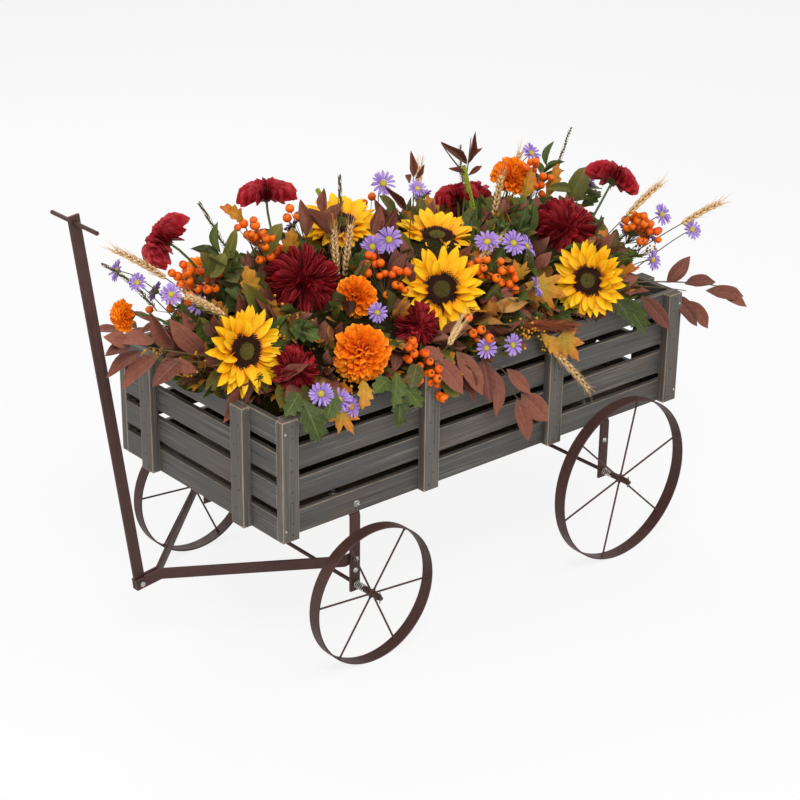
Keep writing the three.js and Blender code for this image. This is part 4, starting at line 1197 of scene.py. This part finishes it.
bedLeaves = [
    ("reddishCurls", (-618, -62, 104), (-668, -58, 188), 34),
    ("reddishLeaves", (-540, -40, 70), (-606, -30, 150), 44),
    ("reddishCurls", (-560, -20, 60), (-620, 0, 130), 34),
    ("reddishLeaves", (-640, -70, 90), (-590, -90, 60), 26),
    ("goldLeaves", (-476, -44, 50), (-552, -28, 36), 64),
    ("oliveLeaves", (-470, -16, 52), (-548, 24, 30), 44),
    ("oliveLeaves", (-474, -76, 48), (-550, -60, 4), 46),
    ("reddishCurls", (-494, -158, 46), (-550, -112, -48), 34),
    ("reddishCurls", (-470, -178, 36), (-428, -216, 74), 28),
    ("reddishCurls", (-474, -140, 48), (-546, -92, 34), 34),
    ("oliveLeaves", (-430, -170, 10), (-500, -222, 8), 50),
    ("oliveLeaves", (-410, -200, 10), (-474, -254, 10), 44),
    ("lobedLeaves", (-440, -90, 34), (-508, -140, 40), 56),
    ("reddishLeaves", (-440, -196, 24), (-498, -238, 18), 34),
    ("goldLeaves", (-470, -60, 40), (-536, -110, 22), 60),
    ("lobedLeaves", (-474, -256, 28), (-462, -290, -46), 58),
    ("lobedLeaves", (-470, -240, 36), (-520, -262, 12), 46),
    ("lobedLeaves", (-400, -250, 30), (-440, -280, -14), 46),
    ("goldLeaves", (-404, -262, 4), (-376, -288, -60), 62),
    ("oakLeaves", (-330, -252, 28), (-356, -282, -14), 40),
    ("lobedLeaves", (-250, -252, 22), (-284, -286, -30), 40),
    ("lobedLeaves", (-250, -262, 0), (-276, -292, -72), 42),
    ("lobedLeaves", (-246, -262, 0), (-216, -290, -46), 40),
    ("lobedLeaves", (-268, -256, 14), (-326, -278, 8), 42),
    ("oliveLeaves", (-200, -256, 26), (-236, -280, -6), 34),
    ("reddishLeaves", (-182, -240, 40), (-136, -262, 26), 30),
    ("reddishLeaves", (-158, -256, 28), (-112, -291, -48), 42),
    ("reddishLeaves", (-98, -252, 24), (-58, -288, -66), 40),
    ("reddishCurls", (-104, -250, 10), (-74, -288, -80), 34),
    ("reddishLeaves", (-36, -262, 0), (-42, -293, -86), 34),
    ("reddishLeaves", (-8, -268, -34), (-30, -298, -118), 32),
    ("reddishLeaves", (24, -268, -40), (66, -294, -96), 28),
    ("reddishLeaves", (54, -280, -96), (112, -300, -166), 46),
    ("reddishLeaves", (42, -281, -104), (58, -303, -194), 34),
    ("oliveLeaves", (-140, -262, -18), (-118, -286, -52), 30),
    ("tanLeaves", (28, -216, 72), (98, -244, 76), 30),
    ("reddishLeaves", (50, -210, 52), (118, -246, 38), 34),
    ("reddishLeaves", (20, -206, 60), (96, -214, 104), 32),
    ("reddishCurls", (-30, -190, 42), (36, -204, 72), 22),
    ("goldLeaves", (140, -214, 116), (172, -250, 22), 112),
    ("goldLeaves", (118, -196, 96), (92, -214, 150), 66),
    ("goldLeaves", (160, -270, 6), (214, -293, -70), 78),
    ("oakLeaves", (120, -262, 10), (150, -286, -40), 34),
    ("lobedLeaves", (352, -248, 34), (402, -284, -54), 52),
    ("lobedLeaves", (344, -240, 30), (356, -282, -16), 44),
    ("reddishLeaves", (418, -252, 14), (478, -284, -66), 34),
    ("reddishLeaves", (548, -204, -2), (608, -212, 46), 34),
    ("reddishLeaves", (606, -204, -20), (698, -212, -34), 32),
    ("reddishLeaves", (650, -226, -38), (766, -236, -76), 32),
    ("reddishLeaves", (516, -250, -8), (582, -268, -90), 36),
    ("reddishLeaves", (570, -250, -34), (618, -268, -104), 32),
    ("reddishLeaves", (700, -222, -52), (752, -260, -90), 26),
    ("oliveLeaves", (512, 60, 120), (556, 60, 186), 46),
    ("lobedLeaves", (540, 52, 100), (586, 40, 130), 34), ("reddishCurls", (58, 60, 262), (52, 62, 322), 17),
    ("reddishCurls", (62, 60, 258), (88, 60, 286), 11), ("reddishCurls", (50, 60, 256), (34, 58, 274), 20),
    ("reddishCurls", (204, 60, 262), (130, 60, 326), 12),
    ("reddishCurls", (208, 60, 262), (226, 60, 330), 13),
    ("reddishCurls", (206, 60, 268), (250, 62, 290), 12),
    ("reddishCurls", (200, 60, 244), (158, 66, 262), 12),
    ("reddishCurls", (206, 60, 236), (252, 64, 250), 12),
    ("reddishCurls", (-270, -6, 226), (-286, -10, 308), 28),
    ("reddishCurls", (-220, -20, 222), (-284, -34, 296), 30),
    ("reddishCurls", (-106, -6, 196), (-86, -10, 254), 30),
    ("reddishCurls", (-96, -16, 186), (-52, -20, 244), 28),
    ("reddishCurls", (-66, 0, 200), (-86, 10, 262), 24),
    ("oakLeaves", (-340, 100, 244), (-392, 104, 284), 34),
    ("oakLeaves", (-276, 36, 172), (-274, 30, 236), 40),
    ("oakLeaves", (-404, -6, 130), (-412, -4, 200), 44),
    ("oliveLeaves", (-392, -40, 84), (-462, -62, 196), 40),
    ("lobedLeaves", (-372, -124, 66), (-416, -164, 130), 52),
    ("lobedLeaves", (-404, -126, 110), (-372, -176, 96), 46),
    ("oakLeaves", (-196, 20, 200), (-210, 12, 262), 40),
    ("oliveLeaves", (-432, 40, 176), (-404, 36, 262), 24),
    ("oliveLeaves", (-470, 30, 186), (-492, 30, 236), 30),
    ("oliveLeaves", (-470, 30, 180), (-438, 26, 222), 30),
    ("oliveLeaves", (-336, 40, 190), (-300, 30, 250), 34),
    ("oliveLeaves", (-10, 40, 200), (-46, 44, 250), 28),
    ("reddishCurls", (30, 50, 200), (-24, 54, 264), 18), ("oakLeaves", (440, 60, 140), (470, 60, 212), 34),
    ("oakLeaves", (350, 40, 160), (372, 44, 226), 34), ("oliveLeaves", (500, 50, 150), (420, 40, 170), 24),
]


def layLeaf(piece, kind, foot, tip, width):
    start, end = cart(*foot), cart(*tip)
    along = end - start
    hangs = along.z < -0.3 * along.length
    front = start.x < cartX - 0.48 and start.y > -0.2
    outward = Vector((-0.8, -0.5, 0)) if front else Vector((-0.25, -0.8, 0))
    upper = outward + up * (0.45 if hangs else 0.7) + scatter(chance, 0.16)
    long = along.length * 1.03
    kindOf(piece, kind).add(start, along, upper, (width / 1000, long, long), chance.random())


def spray(kind, foot, bend, tip, length, width, count):
    steps = 14
    path = curve(cart(*foot), cart(*bend), cart(*tip), steps)
    finish = "brownStem" if kind.startswith("reddish") else "greenStem"
    addStem("bed", finish, path, 0.0021, 0.0009)
    for i in range(count):
        share = 1 if i == 0 else 0.97 - 0.5 * (i / count) + chance.uniform(-0.02, 0.02)
        step = round(share * steps)
        at = path[min(steps, step)]
        ahead = (path[min(steps, step + 1)] - path[max(0, step - 1)]).normalized()
        across = ahead.cross(up)
        across = across.normalized() if across.length > 0.1 else Vector((0, 1, 0))
        swing = (0 if i == 0 else (1 if i % 2 else -1)) * math.radians(chance.uniform(30, 62))
        along = ahead * math.cos(swing) + across * math.sin(swing)
        along = (along + Vector((0, 0, chance.uniform(-0.3, 0.22)))).normalized()
        upper = (up + along * 0.2 + scatter(chance, 0.35)).normalized()
        long = length / 1000 * chance.uniform(0.78, 1.1)
        size = (width / 1000 * chance.uniform(0.85, 1.1), long, long)
        kindOf("bed", kind).add(at, along, upper, size, chance.random())


for row in sprayLooks:
    spray(*row)
for number, (tip, bend, foot) in enumerate(laidStems):
    path = curve(cart(*foot), cart(*bend), cart(*tip), 12)
    addStem("bed" if number else "frontSpray", "brownStem", path, 0.0021, 0.001)
for piece, rows in (("frontSpray", frontLeaves), ("bed", bedLeaves)):
    for row in rows:
        layLeaf(piece, *row)

berryRows = [  # the middles of the bunches on one stalk
    [(-350, 60, 236), (-326, 60, 212), (-270, 90, 160), (-327, 60, 176), (-345, 50, 196), (-306, 50, 196)],
    [(-505, 60, 185), (-474, 60, 157), (-395, 99, 110), (-450, 60, 162), (-480, 60, 186)],
    [(-165, -87, 169), (-149, -129, 157), (-190, -148, 142)],
    [(43, -168, 145), (72, -189, 129), (72, -213, 109), (30, -190, 116)],
    [(-206, -240, 52), (-190, -250, 22), (-176, -258, -4), (-158, -262, -28), (-146, -260, -50),
     (-170, -262, -46)],
    [(-50, -253, 57), (-31, -263, 34)], [(500, -150, 128), (530, -160, 104), (560, -150, 96)],
    [(362, 60, 226), (396, 60, 206), (410, 60, 186)], [(-244, 60, 250), (-236, 60, 262)],
    [(-420, 226, 60), (-398, 236, 24)], [(-180, 246, 36), (-150, 240, 70)], [(60, 252, 12), (44, 240, 52)],
    [(300, 246, 24), (322, 238, 60)], [(520, 150, 84), (548, 130, 60)], [(10, 190, 170), (40, 176, 190)],
]
berryLook = {"size": 0.0172, "crowd": 0.0128, "each": 5}
for row in berryRows:
    places = [cart(*place) for place in row]
    middle = sum(places, Vector()) / len(places)
    root = rootOf(middle, 0.8, 0.6, min(middle.z - 0.05, rim + 0.02))
    knot = middle.lerp(root, 0.35)
    bend = root.lerp(knot, 0.6) + Vector((0, 0, 0.01))
    addStem("bed", "brownStem", curve(root, bend, knot), 0.0017, 0.0013)
    crowded = len(row) > 2
    kept = []
    for place in places:
        for _ in range(berryLook["each"] * 3):
            at = place + scatter(chance, berryLook["crowd"])
            if any((at - other).length < berryLook["size"] * 0.9 for other in kept):
                continue
            if crowded and any((at - centre).length < radius * 0.8 for centre, radius in keepOut):
                continue
            kept.append(at)
            size = berryLook["size"] * chance.uniform(0.85, 1.08)
            out = (at - knot).normalized()
            kindOf("bed", "berries").add(at, out, up, (size, size, size), chance.random())
            addStem("bed", "brownStem", curve(at, at - out * 0.012, knot, 4), 0.0006, 0.0009, 5)
            if len(kept) >= (berryLook["each"] if crowded else 2) * len(places):
                break

wheatEars = [
    ((-552, 60, 190), (-653, 60, 264)), ((-503, -60, 140), (-580, -60, 193)),
    ((-193, -30, 134), (-180, -30, 228)), ((-213, -30, 138), (-220, -30, 226)),
    ((244, 20, 130), (265, 20, 226)), ((39, -160, 149), (136, -119, 162)),
    ((470, -150, 150), (560, -150, 196)), ((600, -190, 116), (700, -200, 140)),
    ((140, -282, -30), (232, -286, -130)), ((-119, -253, 43), (-100, -262, 80)),
    ((420, 170, 130), (480, 190, 196)), ((200, 210, 140), (232, 240, 200)),
]
wheatLook = {"nodes": 11, "kernel": (0.0066, 0.0145, 0.006), "awn": 0.04, "awnWidth": 0.0008}


def wheat(foot, tip):
    foot, tip = cart(*foot), cart(*tip)
    along = (tip - foot).normalized()
    path = curve(foot, foot.lerp(tip, 0.5) + Vector((0, 0, 0.006)), tip, 10)
    root = rootOf(foot, 0.75, 0.6, rim + 0.02)
    addStem("bed", "brownStem", curve(foot, foot - along * 0.05, root), 0.0012, 0.0014, 5)
    addStem("bed", "brownStem", path, 0.0012, 0.0006, 5)
    facing, side, other = around(along)
    spin, thin = chance.uniform(0, math.pi), wheatLook["awnWidth"]
    for i in range(wheatLook["nodes"]):
        share = i / (wheatLook["nodes"] - 1)
        at = path[round(share * 10)]
        for k in range(3):
            a = spin + (math.pi / 2 if i % 2 else 0) + k * 2 * math.pi / 3
            out = aside(side, other, a)
            lean = (along + out * 0.42).normalized()
            size = [v * (1.05 - 0.35 * abs(share - 0.4)) for v in wheatLook["kernel"]]
            kindOf("bed", "kernels").add(at + out * 0.0012, lean, out, size, chance.random())
            end = at + lean * size[1] * 0.8
            for splay in (0.12, 0.3):
                hair = along + out * splay * chance.uniform(0.7, 1.3)
                hair = (hair + side * chance.gauss(0, 0.06)).normalized()
                awn = (thin, wheatLook["awn"] * chance.uniform(0.5, 1), thin)
                kindOf("bed", "awns").add(end, hair, out, awn, chance.random())


for foot, tip in wheatEars:
    wheat(foot, tip)


plumeLook = {"hair": 0.0019, "reach": 0.7}


def plume(foot, tip, count):
    foot, tip = cart(*foot), cart(*tip)
    along, side, other = around(tip - foot)
    length = (tip - foot).length
    addStem("bed", "brownStem", [foot - along * 0.06, foot, tip - along * 0.03], 0.0016, 0.0008)
    for _ in range(count):
        share, a = chance.random() * plumeLook["reach"], chance.uniform(0, 2 * math.pi)
        out = aside(side, other, a)
        lean = (along + out * chance.uniform(0.05, 0.42)).normalized()
        size = (plumeLook["hair"], length * chance.uniform(0.2, 0.38), plumeLook["hair"])
        kindOf("bed", "plumes").add(foot + along * length * share, lean, out, size, chance.random())


plume((66, -256, 40), (212, -286, 10), 340)
plume((-260, 214, 90), (-330, 262, 70), 160)


spikeLook = {"steps": 54, "bare": 16, "girth": 0.0056, "around": 7, "bud": (0.0042, 0.0058, 0.0042)}


def spike(foot, bend, tip):
    steps, bare, count = spikeLook["steps"], spikeLook["bare"], spikeLook["around"]
    path = curve(cart(*foot), cart(*bend), cart(*tip), steps)
    addStem("bed", "greenStem", path, 0.003, 0.0015)
    for i in range(bare, steps):
        ahead, side, other = around(path[i] - path[i - 1])
        girth = spikeLook["girth"] * (1 - 0.55 * (i - bare) / (steps - bare))
        for k in range(count):
            out = aside(side, other, i * golden + k * 2 * math.pi / count)
            kindOf("bed", "spikeBuds").add(path[i] + out * girth, (out + ahead * 0.6).normalized(), ahead,
                                           spikeLook["bud"], chance.random())


spike((250, 60, 90), (218, 60, 170), (196, 60, 262))
spike((-60, 150, 90), (-40, 190, 160), (-70, 214, 226))

budRows = [
    (-395, -60, 128), (-381, -114, 114), (-422, -116, 94), (-340, -207, 52), (-352, -228, 14),
    (-341, -232, -20), (61, -268, 26), (136, -266, -20), (100, -262, 20), (-610, 20, 70), (-584, -60, 62),
    (-352, -150, 84), (330, 236, 40), (-100, 244, 60), (480, 214, 60), (590, -110, 40),
]
budLook = {"count": 17, "crowd": 0.013}
for place in budRows:
    middle = cart(*place)
    root = rootOf(middle, 0.9, 0.75, min(middle.z - 0.04, rim + 0.03))
    knot = middle.lerp(root, 0.4)
    for _ in range(budLook["count"]):
        at = middle + scatter(chance, budLook["crowd"])
        out = (at - root).normalized()
        size = chance.uniform(0.0045, 0.0072)
        kindOf("bed", "mustardBuds").add(at, out, up, (size, size, size), chance.random())
        bend = at.lerp(root, 0.3) - Vector((0, 0, 0.003))
        addStem("bed", "brownStem", curve(at, bend, knot, 3), 0.0004, 0.0007, 4)
    addStem("bed", "brownStem", [knot, root], 0.0009, 0.0012, 5)

sprigRows = [  # foot, bend and tip
    ((-380, 60, 160), (-440, 60, 270), (-468, 60, 316)),
    ((-140, 50, 190), (-136, 55, 260), (-134, 60, 302)), ((440, 60, 130), (470, 60, 210), (503, 60, 282)),
    ((-560, 80, 120), (-600, 110, 190), (-640, 130, 215)),
    ((300, 150, 110), (310, 200, 180), (330, 220, 236)),
    ((-420, 60, 150), (-455, 50, 190), (-470, 40, 236)),
]
sprigLook = {"steps": 26, "width": 0.0042, "length": 0.013}
for foot, bend, tip in sprigRows:
    steps = sprigLook["steps"]
    path = curve(cart(*foot), cart(*bend), cart(*tip), steps)
    addStem("bed", "brownStem", path, 0.0013, 0.0005, 5)
    for i in range(1, steps + 1):
        ahead, side, other = around(path[i] - path[i - 1])
        length = sprigLook["length"] * (1.1 - 0.5 * i / steps)
        size = (sprigLook["width"], length, length)
        for k in range(3):
            out = aside(side, other, i * golden + k * 2 * math.pi / 3)
            lean = (ahead + out * 0.8).normalized()
            kindOf("bed", "sprigNeedles").add(path[i], lean, ahead, size, chance.random())

filling = {
    "count": 1700, "long": 556, "wide": 250, "high": 184, "seed": 23, "rootShare": 0.66, "rootY": 200,
    "tipY": 0.3, "underRim": 0.02,
}
fillKinds = [("lobedLeaves", 0.15, 70, 50), ("oliveLeaves", 0.2, 56, 30), ("greenLances", 0.14, 70, 20),
             ("reddishLeaves", 0.17, 72, 32), ("reddishCurls", 0.17, 70, 30), ("oakLeaves", 0.07, 72, 40),
             ("goldLeaves", 0.03, 66, 62), ("tanLeaves", 0.07, 60, 26)]
pick = random.Random(filling["seed"])
toViewer = Vector((-0.57, -0.68, 0.42))


def hides(place):  # true in front of a head, along its own direction or toward the viewer
    for centre, facing, radius in openHeads:
        for out in (facing, toViewer):
            ahead = (place - centre).dot(out)
            if 0 < ahead < 0.16 and (place - centre - out * ahead).length < radius:
                return True
    return False


placed = 0
long, wide, high = filling["long"], filling["wide"], filling["high"]
for _ in range(filling["count"]):
    a, k = pick.uniform(0, 2 * math.pi), pick.random()
    lift = 1 - 1.18 * k  # from the crown down to a little below the rim
    flat = math.sqrt(max(0.0, 1 - max(lift, 0) ** 2))
    x, y = flat * math.cos(a), flat * math.sin(a)
    square = 1 / max(abs(math.cos(a)), abs(math.sin(a))) ** 0.35  # a bed that follows the crate's corners
    shell = Vector((x * long * square, y * wide * square, max(lift, -0.12) * high))
    out = Vector((x / long, y / wide, max(lift, 0.1) / high)).normalized()
    foot = shell * filling["rootShare"]
    foot.z = shell.z * 0.62 - 6
    if abs(foot.y) > filling["rootY"]:
        foot.y = math.copysign(filling["rootY"], foot.y)
    lean = (out + scatter(pick, 0.42)).normalized()
    roll, kind, length, width = pick.random(), None, 0, 0
    for kind, share, length, width in fillKinds:
        roll -= share
        if roll < 0:
            break
    length *= pick.uniform(0.8, 1.35) / 1000
    width *= pick.uniform(0.85, 1.15) / 1000
    gap = (shell - foot).length / 1000
    outward = (cart(*shell) - cart(*foot)).normalized()
    start = cart(*foot) + outward * max(0, gap - length * pick.uniform(0.55, 0.9))
    if lean.z < -0.1 and start.z < rim + 0.012:
        lean.z = 0.1
    tip = start + lean * length
    if abs(tip.y) > filling["tipY"] or tip.z < rim - filling["underRim"]:
        continue
    if any((start.lerp(tip, share) - centre).length < radius * (0.86 + 0.1 * share)
           for centre, radius in keepOut for share in (0.45, 1)):
        continue
    if hides(start.lerp(tip, 0.5)) or hides(tip):
        continue
    upper = (out * 0.8 + up * 0.5 + scatter(pick, 0.35)).normalized()
    kindOf("bed", kind).add(start, lean, upper, (width, length, length), pick.random())
    if length > 0.07:
        addStem("bed", "brownStem" if "reddish" in kind else "greenStem",
                [start + lean * 0.004, start - lean * 0.01, cart(*foot) - up * 0.01], 0.0009, 0.0012, 4)
    placed += 1
print("filling leaves:", placed)

moss = {
    "sides": 96, "rough": 0.0049, "waves": 14, "seed": 9, "bottom": -228, "top": 152,
    "sections": [  # height over the rim, half length, half width, corner power
        (-228, 372, 158, 6), (-220, 382, 166, 6), (-140, 384, 168, 6), (-132, 420, 190, 5),
        (-60, 470, 206, 5), (-14, 500, 212, 5), (12, 494, 206, 4), (52, 460, 180, 3), (94, 392, 144, 2.5),
        (126, 292, 108, 2.2), (146, 180, 68, 2),
    ],
}


def mossMesh():
    pick = random.Random(moss["seed"])
    waves = []
    for _ in range(moss["waves"]):
        waves.append((scatter(pick, 1) * pick.uniform(26, 90), pick.uniform(0, 6)))
    points, faces = [], []
    for z, halfX, halfY, power in moss["sections"]:
        for k in range(moss["sides"]):
            a = 2 * math.pi * k / moss["sides"]
            c, s = math.cos(a), math.sin(a)
            grow = (abs(c) ** power + abs(s) ** power) ** (-1 / power)
            at = cart(halfX * c * grow, halfY * s * grow, z)
            lump = sum(math.sin(at.dot(direction) + phase) for direction, phase in waves) / 5
            out = Vector((c, s, 0.5 if z > 20 else 0)).normalized()
            points.append(at - out * moss["rough"] * (1 + lump))
    count, sides = len(moss["sections"]), moss["sides"]
    for i in range(count - 1):
        for k in range(sides):
            n = (k + 1) % sides
            faces.append([i * sides + k, i * sides + n, (i + 1) * sides + n, (i + 1) * sides + k])
    points.append(cart(0, 0, moss["top"]))
    points.append(cart(0, 0, moss["bottom"]))
    for k in range(sides):
        n = (k + 1) % sides
        faces.append([(count - 1) * sides + k, (count - 1) * sides + n, len(points) - 2])
        faces.append([n, k, len(points) - 1])
    return facingOut(meshFrom("mossMesh", points, faces, None, 80))


# the moss's own browns and greens, darkened further to paint the shade in the deep gaps of the bed
def mossAndGapShadeFinish():
    finish, graph, feed = newFinish("moss", {"Specular IOR Level": 0.1})
    place = graph.node("ShaderNodeTexCoord", out="Object")
    tuft = graph.noise(place, 260, 5.0, 0.7)
    clump = graph.noise(place, 34, 3.0, 0.6)
    # very dark tufts and clumps: moss colour with painted shade of the gaps between the leaves
    shade = graph.mix(graph.between(tuft, 0.36, 0.66), tint(20, 17, 9), tint(72, 60, 27))
    shade = graph.mix(graph.between(clump, 0.44, 0.66) * 0.7, shade, tint(36, 42, 16))
    feed(colour=shade, roughness=graph.between(tuft, 0.3, 0.7, 0.8, 0.95))
    feed(normal=graph.bump(tuft + clump, 0.9, 0.006))
    return finish


addPiece("mossBed", mossMesh(), mossAndGapShadeFinish(), "arrangement", ["foam_block", "foliage"])

# each kind of copy and each stem finish becomes one piece
standsFor = {"bed": "foliage", "frontSpray": "front_spray", "mum1": "mum_1", "mum2": "mum_2"}
standsFor.update({f"sunflower{n}": f"sunflower_{n}" for n in range(1, 6)})
for (piece, kind), group in grown.items():
    shape, finish, slotName = dressing[kind]
    name = kind if piece == "bed" else piece + kind[0].upper() + kind[1:]
    mesh = group.mesh(shape, plants[finish])
    addPiece(name, mesh, plants[finish], "arrangement", [standsFor[piece]])
for (piece, finish), parts in stems.items():
    points, faces = joined([(p, f) for p, f, *_ in parts])
    along = np.concatenate([np.repeat(np.linspace(1, 0, count), sides) for _, _, count, sides, _ in parts])
    tone = np.concatenate([np.full(count * sides, t) for _, _, count, sides, t in parts])
    flat = np.zeros(len(points))
    name = finish + "s" if piece == "bed" else piece + "Stem" + finish[0].upper()
    marks = {"along": along, "tone": tone, "across": flat, "under": flat}
    mesh = facingOut(meshFrom(name, points, faces, marks))
    addPiece(name, mesh, plants[finish], "arrangement", [standsFor[piece]])
print("plant pieces:", len(grown) + len(stems))

view = {"azimuth": -40.654, "elevation": 24.09, "roll": 0.758, "lens": 93.54,
        "place": (-2.585775, -2.986412, 1.818205)}


def placeCamera():
    a, e, r = (math.radians(view[key]) for key in ("azimuth", "elevation", "roll"))
    back = Vector((math.sin(a) * math.cos(e), -math.cos(a) * math.cos(e), math.sin(e)))
    right = Vector((math.cos(a), math.sin(a), 0))
    upward = back.cross(right)
    across = right * math.cos(r) + upward * math.sin(r)
    upright = upward * math.cos(r) - right * math.sin(r)
    lens = bpy.data.cameras.new("camera")
    lens.lens = view["lens"]
    lens.sensor_width = 36
    lens.clip_end = 60
    camera = linked("camera", lens)
    turned = Matrix((across, upright, back)).transposed().to_4x4()
    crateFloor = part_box("left_slat_1")[0].z
    camera.matrix_world = Matrix.Translation(Vector(view["place"]) + Vector((cartX, 0, crateFloor))) @ turned
    scene.camera = camera


lamps = {
    "key": {"power": 126, "size": 2.6, "from": (-1.6, -2.6, 3.6)},
    "fill": {"power": 32, "size": 3.2, "from": (3.4, -2.4, 2.2)},
    "back": {"power": 50, "size": 2.6, "from": (0.8, 3.0, 3.0)},
    "leftSide": {"power": 22, "size": 2.2, "from": (-3.6, 0.4, 1.6)},
}
backdrop = {"white": 1.0, "shadow": 0.16, "ambient": 0.46}


def lightScene():
    for name, lamp in lamps.items():
        light = bpy.data.lights.new(name, "AREA")
        light.energy = lamp["power"]
        light.size = lamp["size"]
        holder = linked(name, light)
        place = Vector(lamp["from"]) + Vector((cartX, 0, 0))
        toward = Vector((cartX, 0, 0.45)) - place
        holder.matrix_world = Matrix.Translation(place) @ toward.to_track_quat("-Z", "Y").to_matrix().to_4x4()
    world = bpy.data.worlds.new("studio")
    scene.world = world
    world.use_nodes = True
    graph = Graph(world.node_tree)
    world.node_tree.nodes.clear()
    seen = seenRays(graph)
    strength = graph.between(seen, 0, 1, backdrop["ambient"], backdrop["white"])
    sky = graph.node("ShaderNodeBackground", None, {"Color": (1, 1, 1, 1), "Strength": strength})
    output = graph.tree.nodes.new("ShaderNodeOutputWorld")
    graph.tree.links.new(sky.socket, output.inputs[0])


def seenRays(graph):  # 1 for the rays by which the backdrop is seen
    rays = {name: graph.node("ShaderNodeLightPath", out=name)
            for name in ("Is Camera Ray", "Is Glossy Ray", "Is Transmission Ray")}
    return (rays["Is Camera Ray"] + rays["Is Glossy Ray"] + rays["Is Transmission Ray"]) > 0.5


def layFloor():
    size = 14
    mesh = bpy.data.meshes.new("floorMesh")
    corners = [(-size, -size, 0), (size, -size, 0), (size, size, 0), (-size, size, 0)]
    mesh.from_pydata(corners, [], [(0, 1, 2, 3)])
    floor = linked("studioFloor", mesh)
    finish = bpy.data.materials.new("studioWhite")
    finish.use_nodes = True
    graph = Graph(finish.node_tree)
    finish.node_tree.nodes.clear()
    matt = graph.node("ShaderNodeBsdfDiffuse", None, {"Color": (0.8, 0.8, 0.8, 1)})
    glow = graph.node("ShaderNodeEmission", None, {"Color": (1, 1, 1, 1), "Strength": backdrop["white"]})
    share = seenRays(graph) * (1 - backdrop["shadow"])
    mixed = graph.node("ShaderNodeMixShader", None, {0: share, 1: matt, 2: glow})
    output = graph.tree.nodes.new("ShaderNodeOutputMaterial")
    graph.tree.links.new(mixed.socket, output.inputs[0])
    mesh.materials.append(finish)


placeCamera()
lightScene()
layFloor()
scene.view_settings.view_transform = "Standard"
for shape in shapes.values():
    bpy.data.objects.remove(shape)
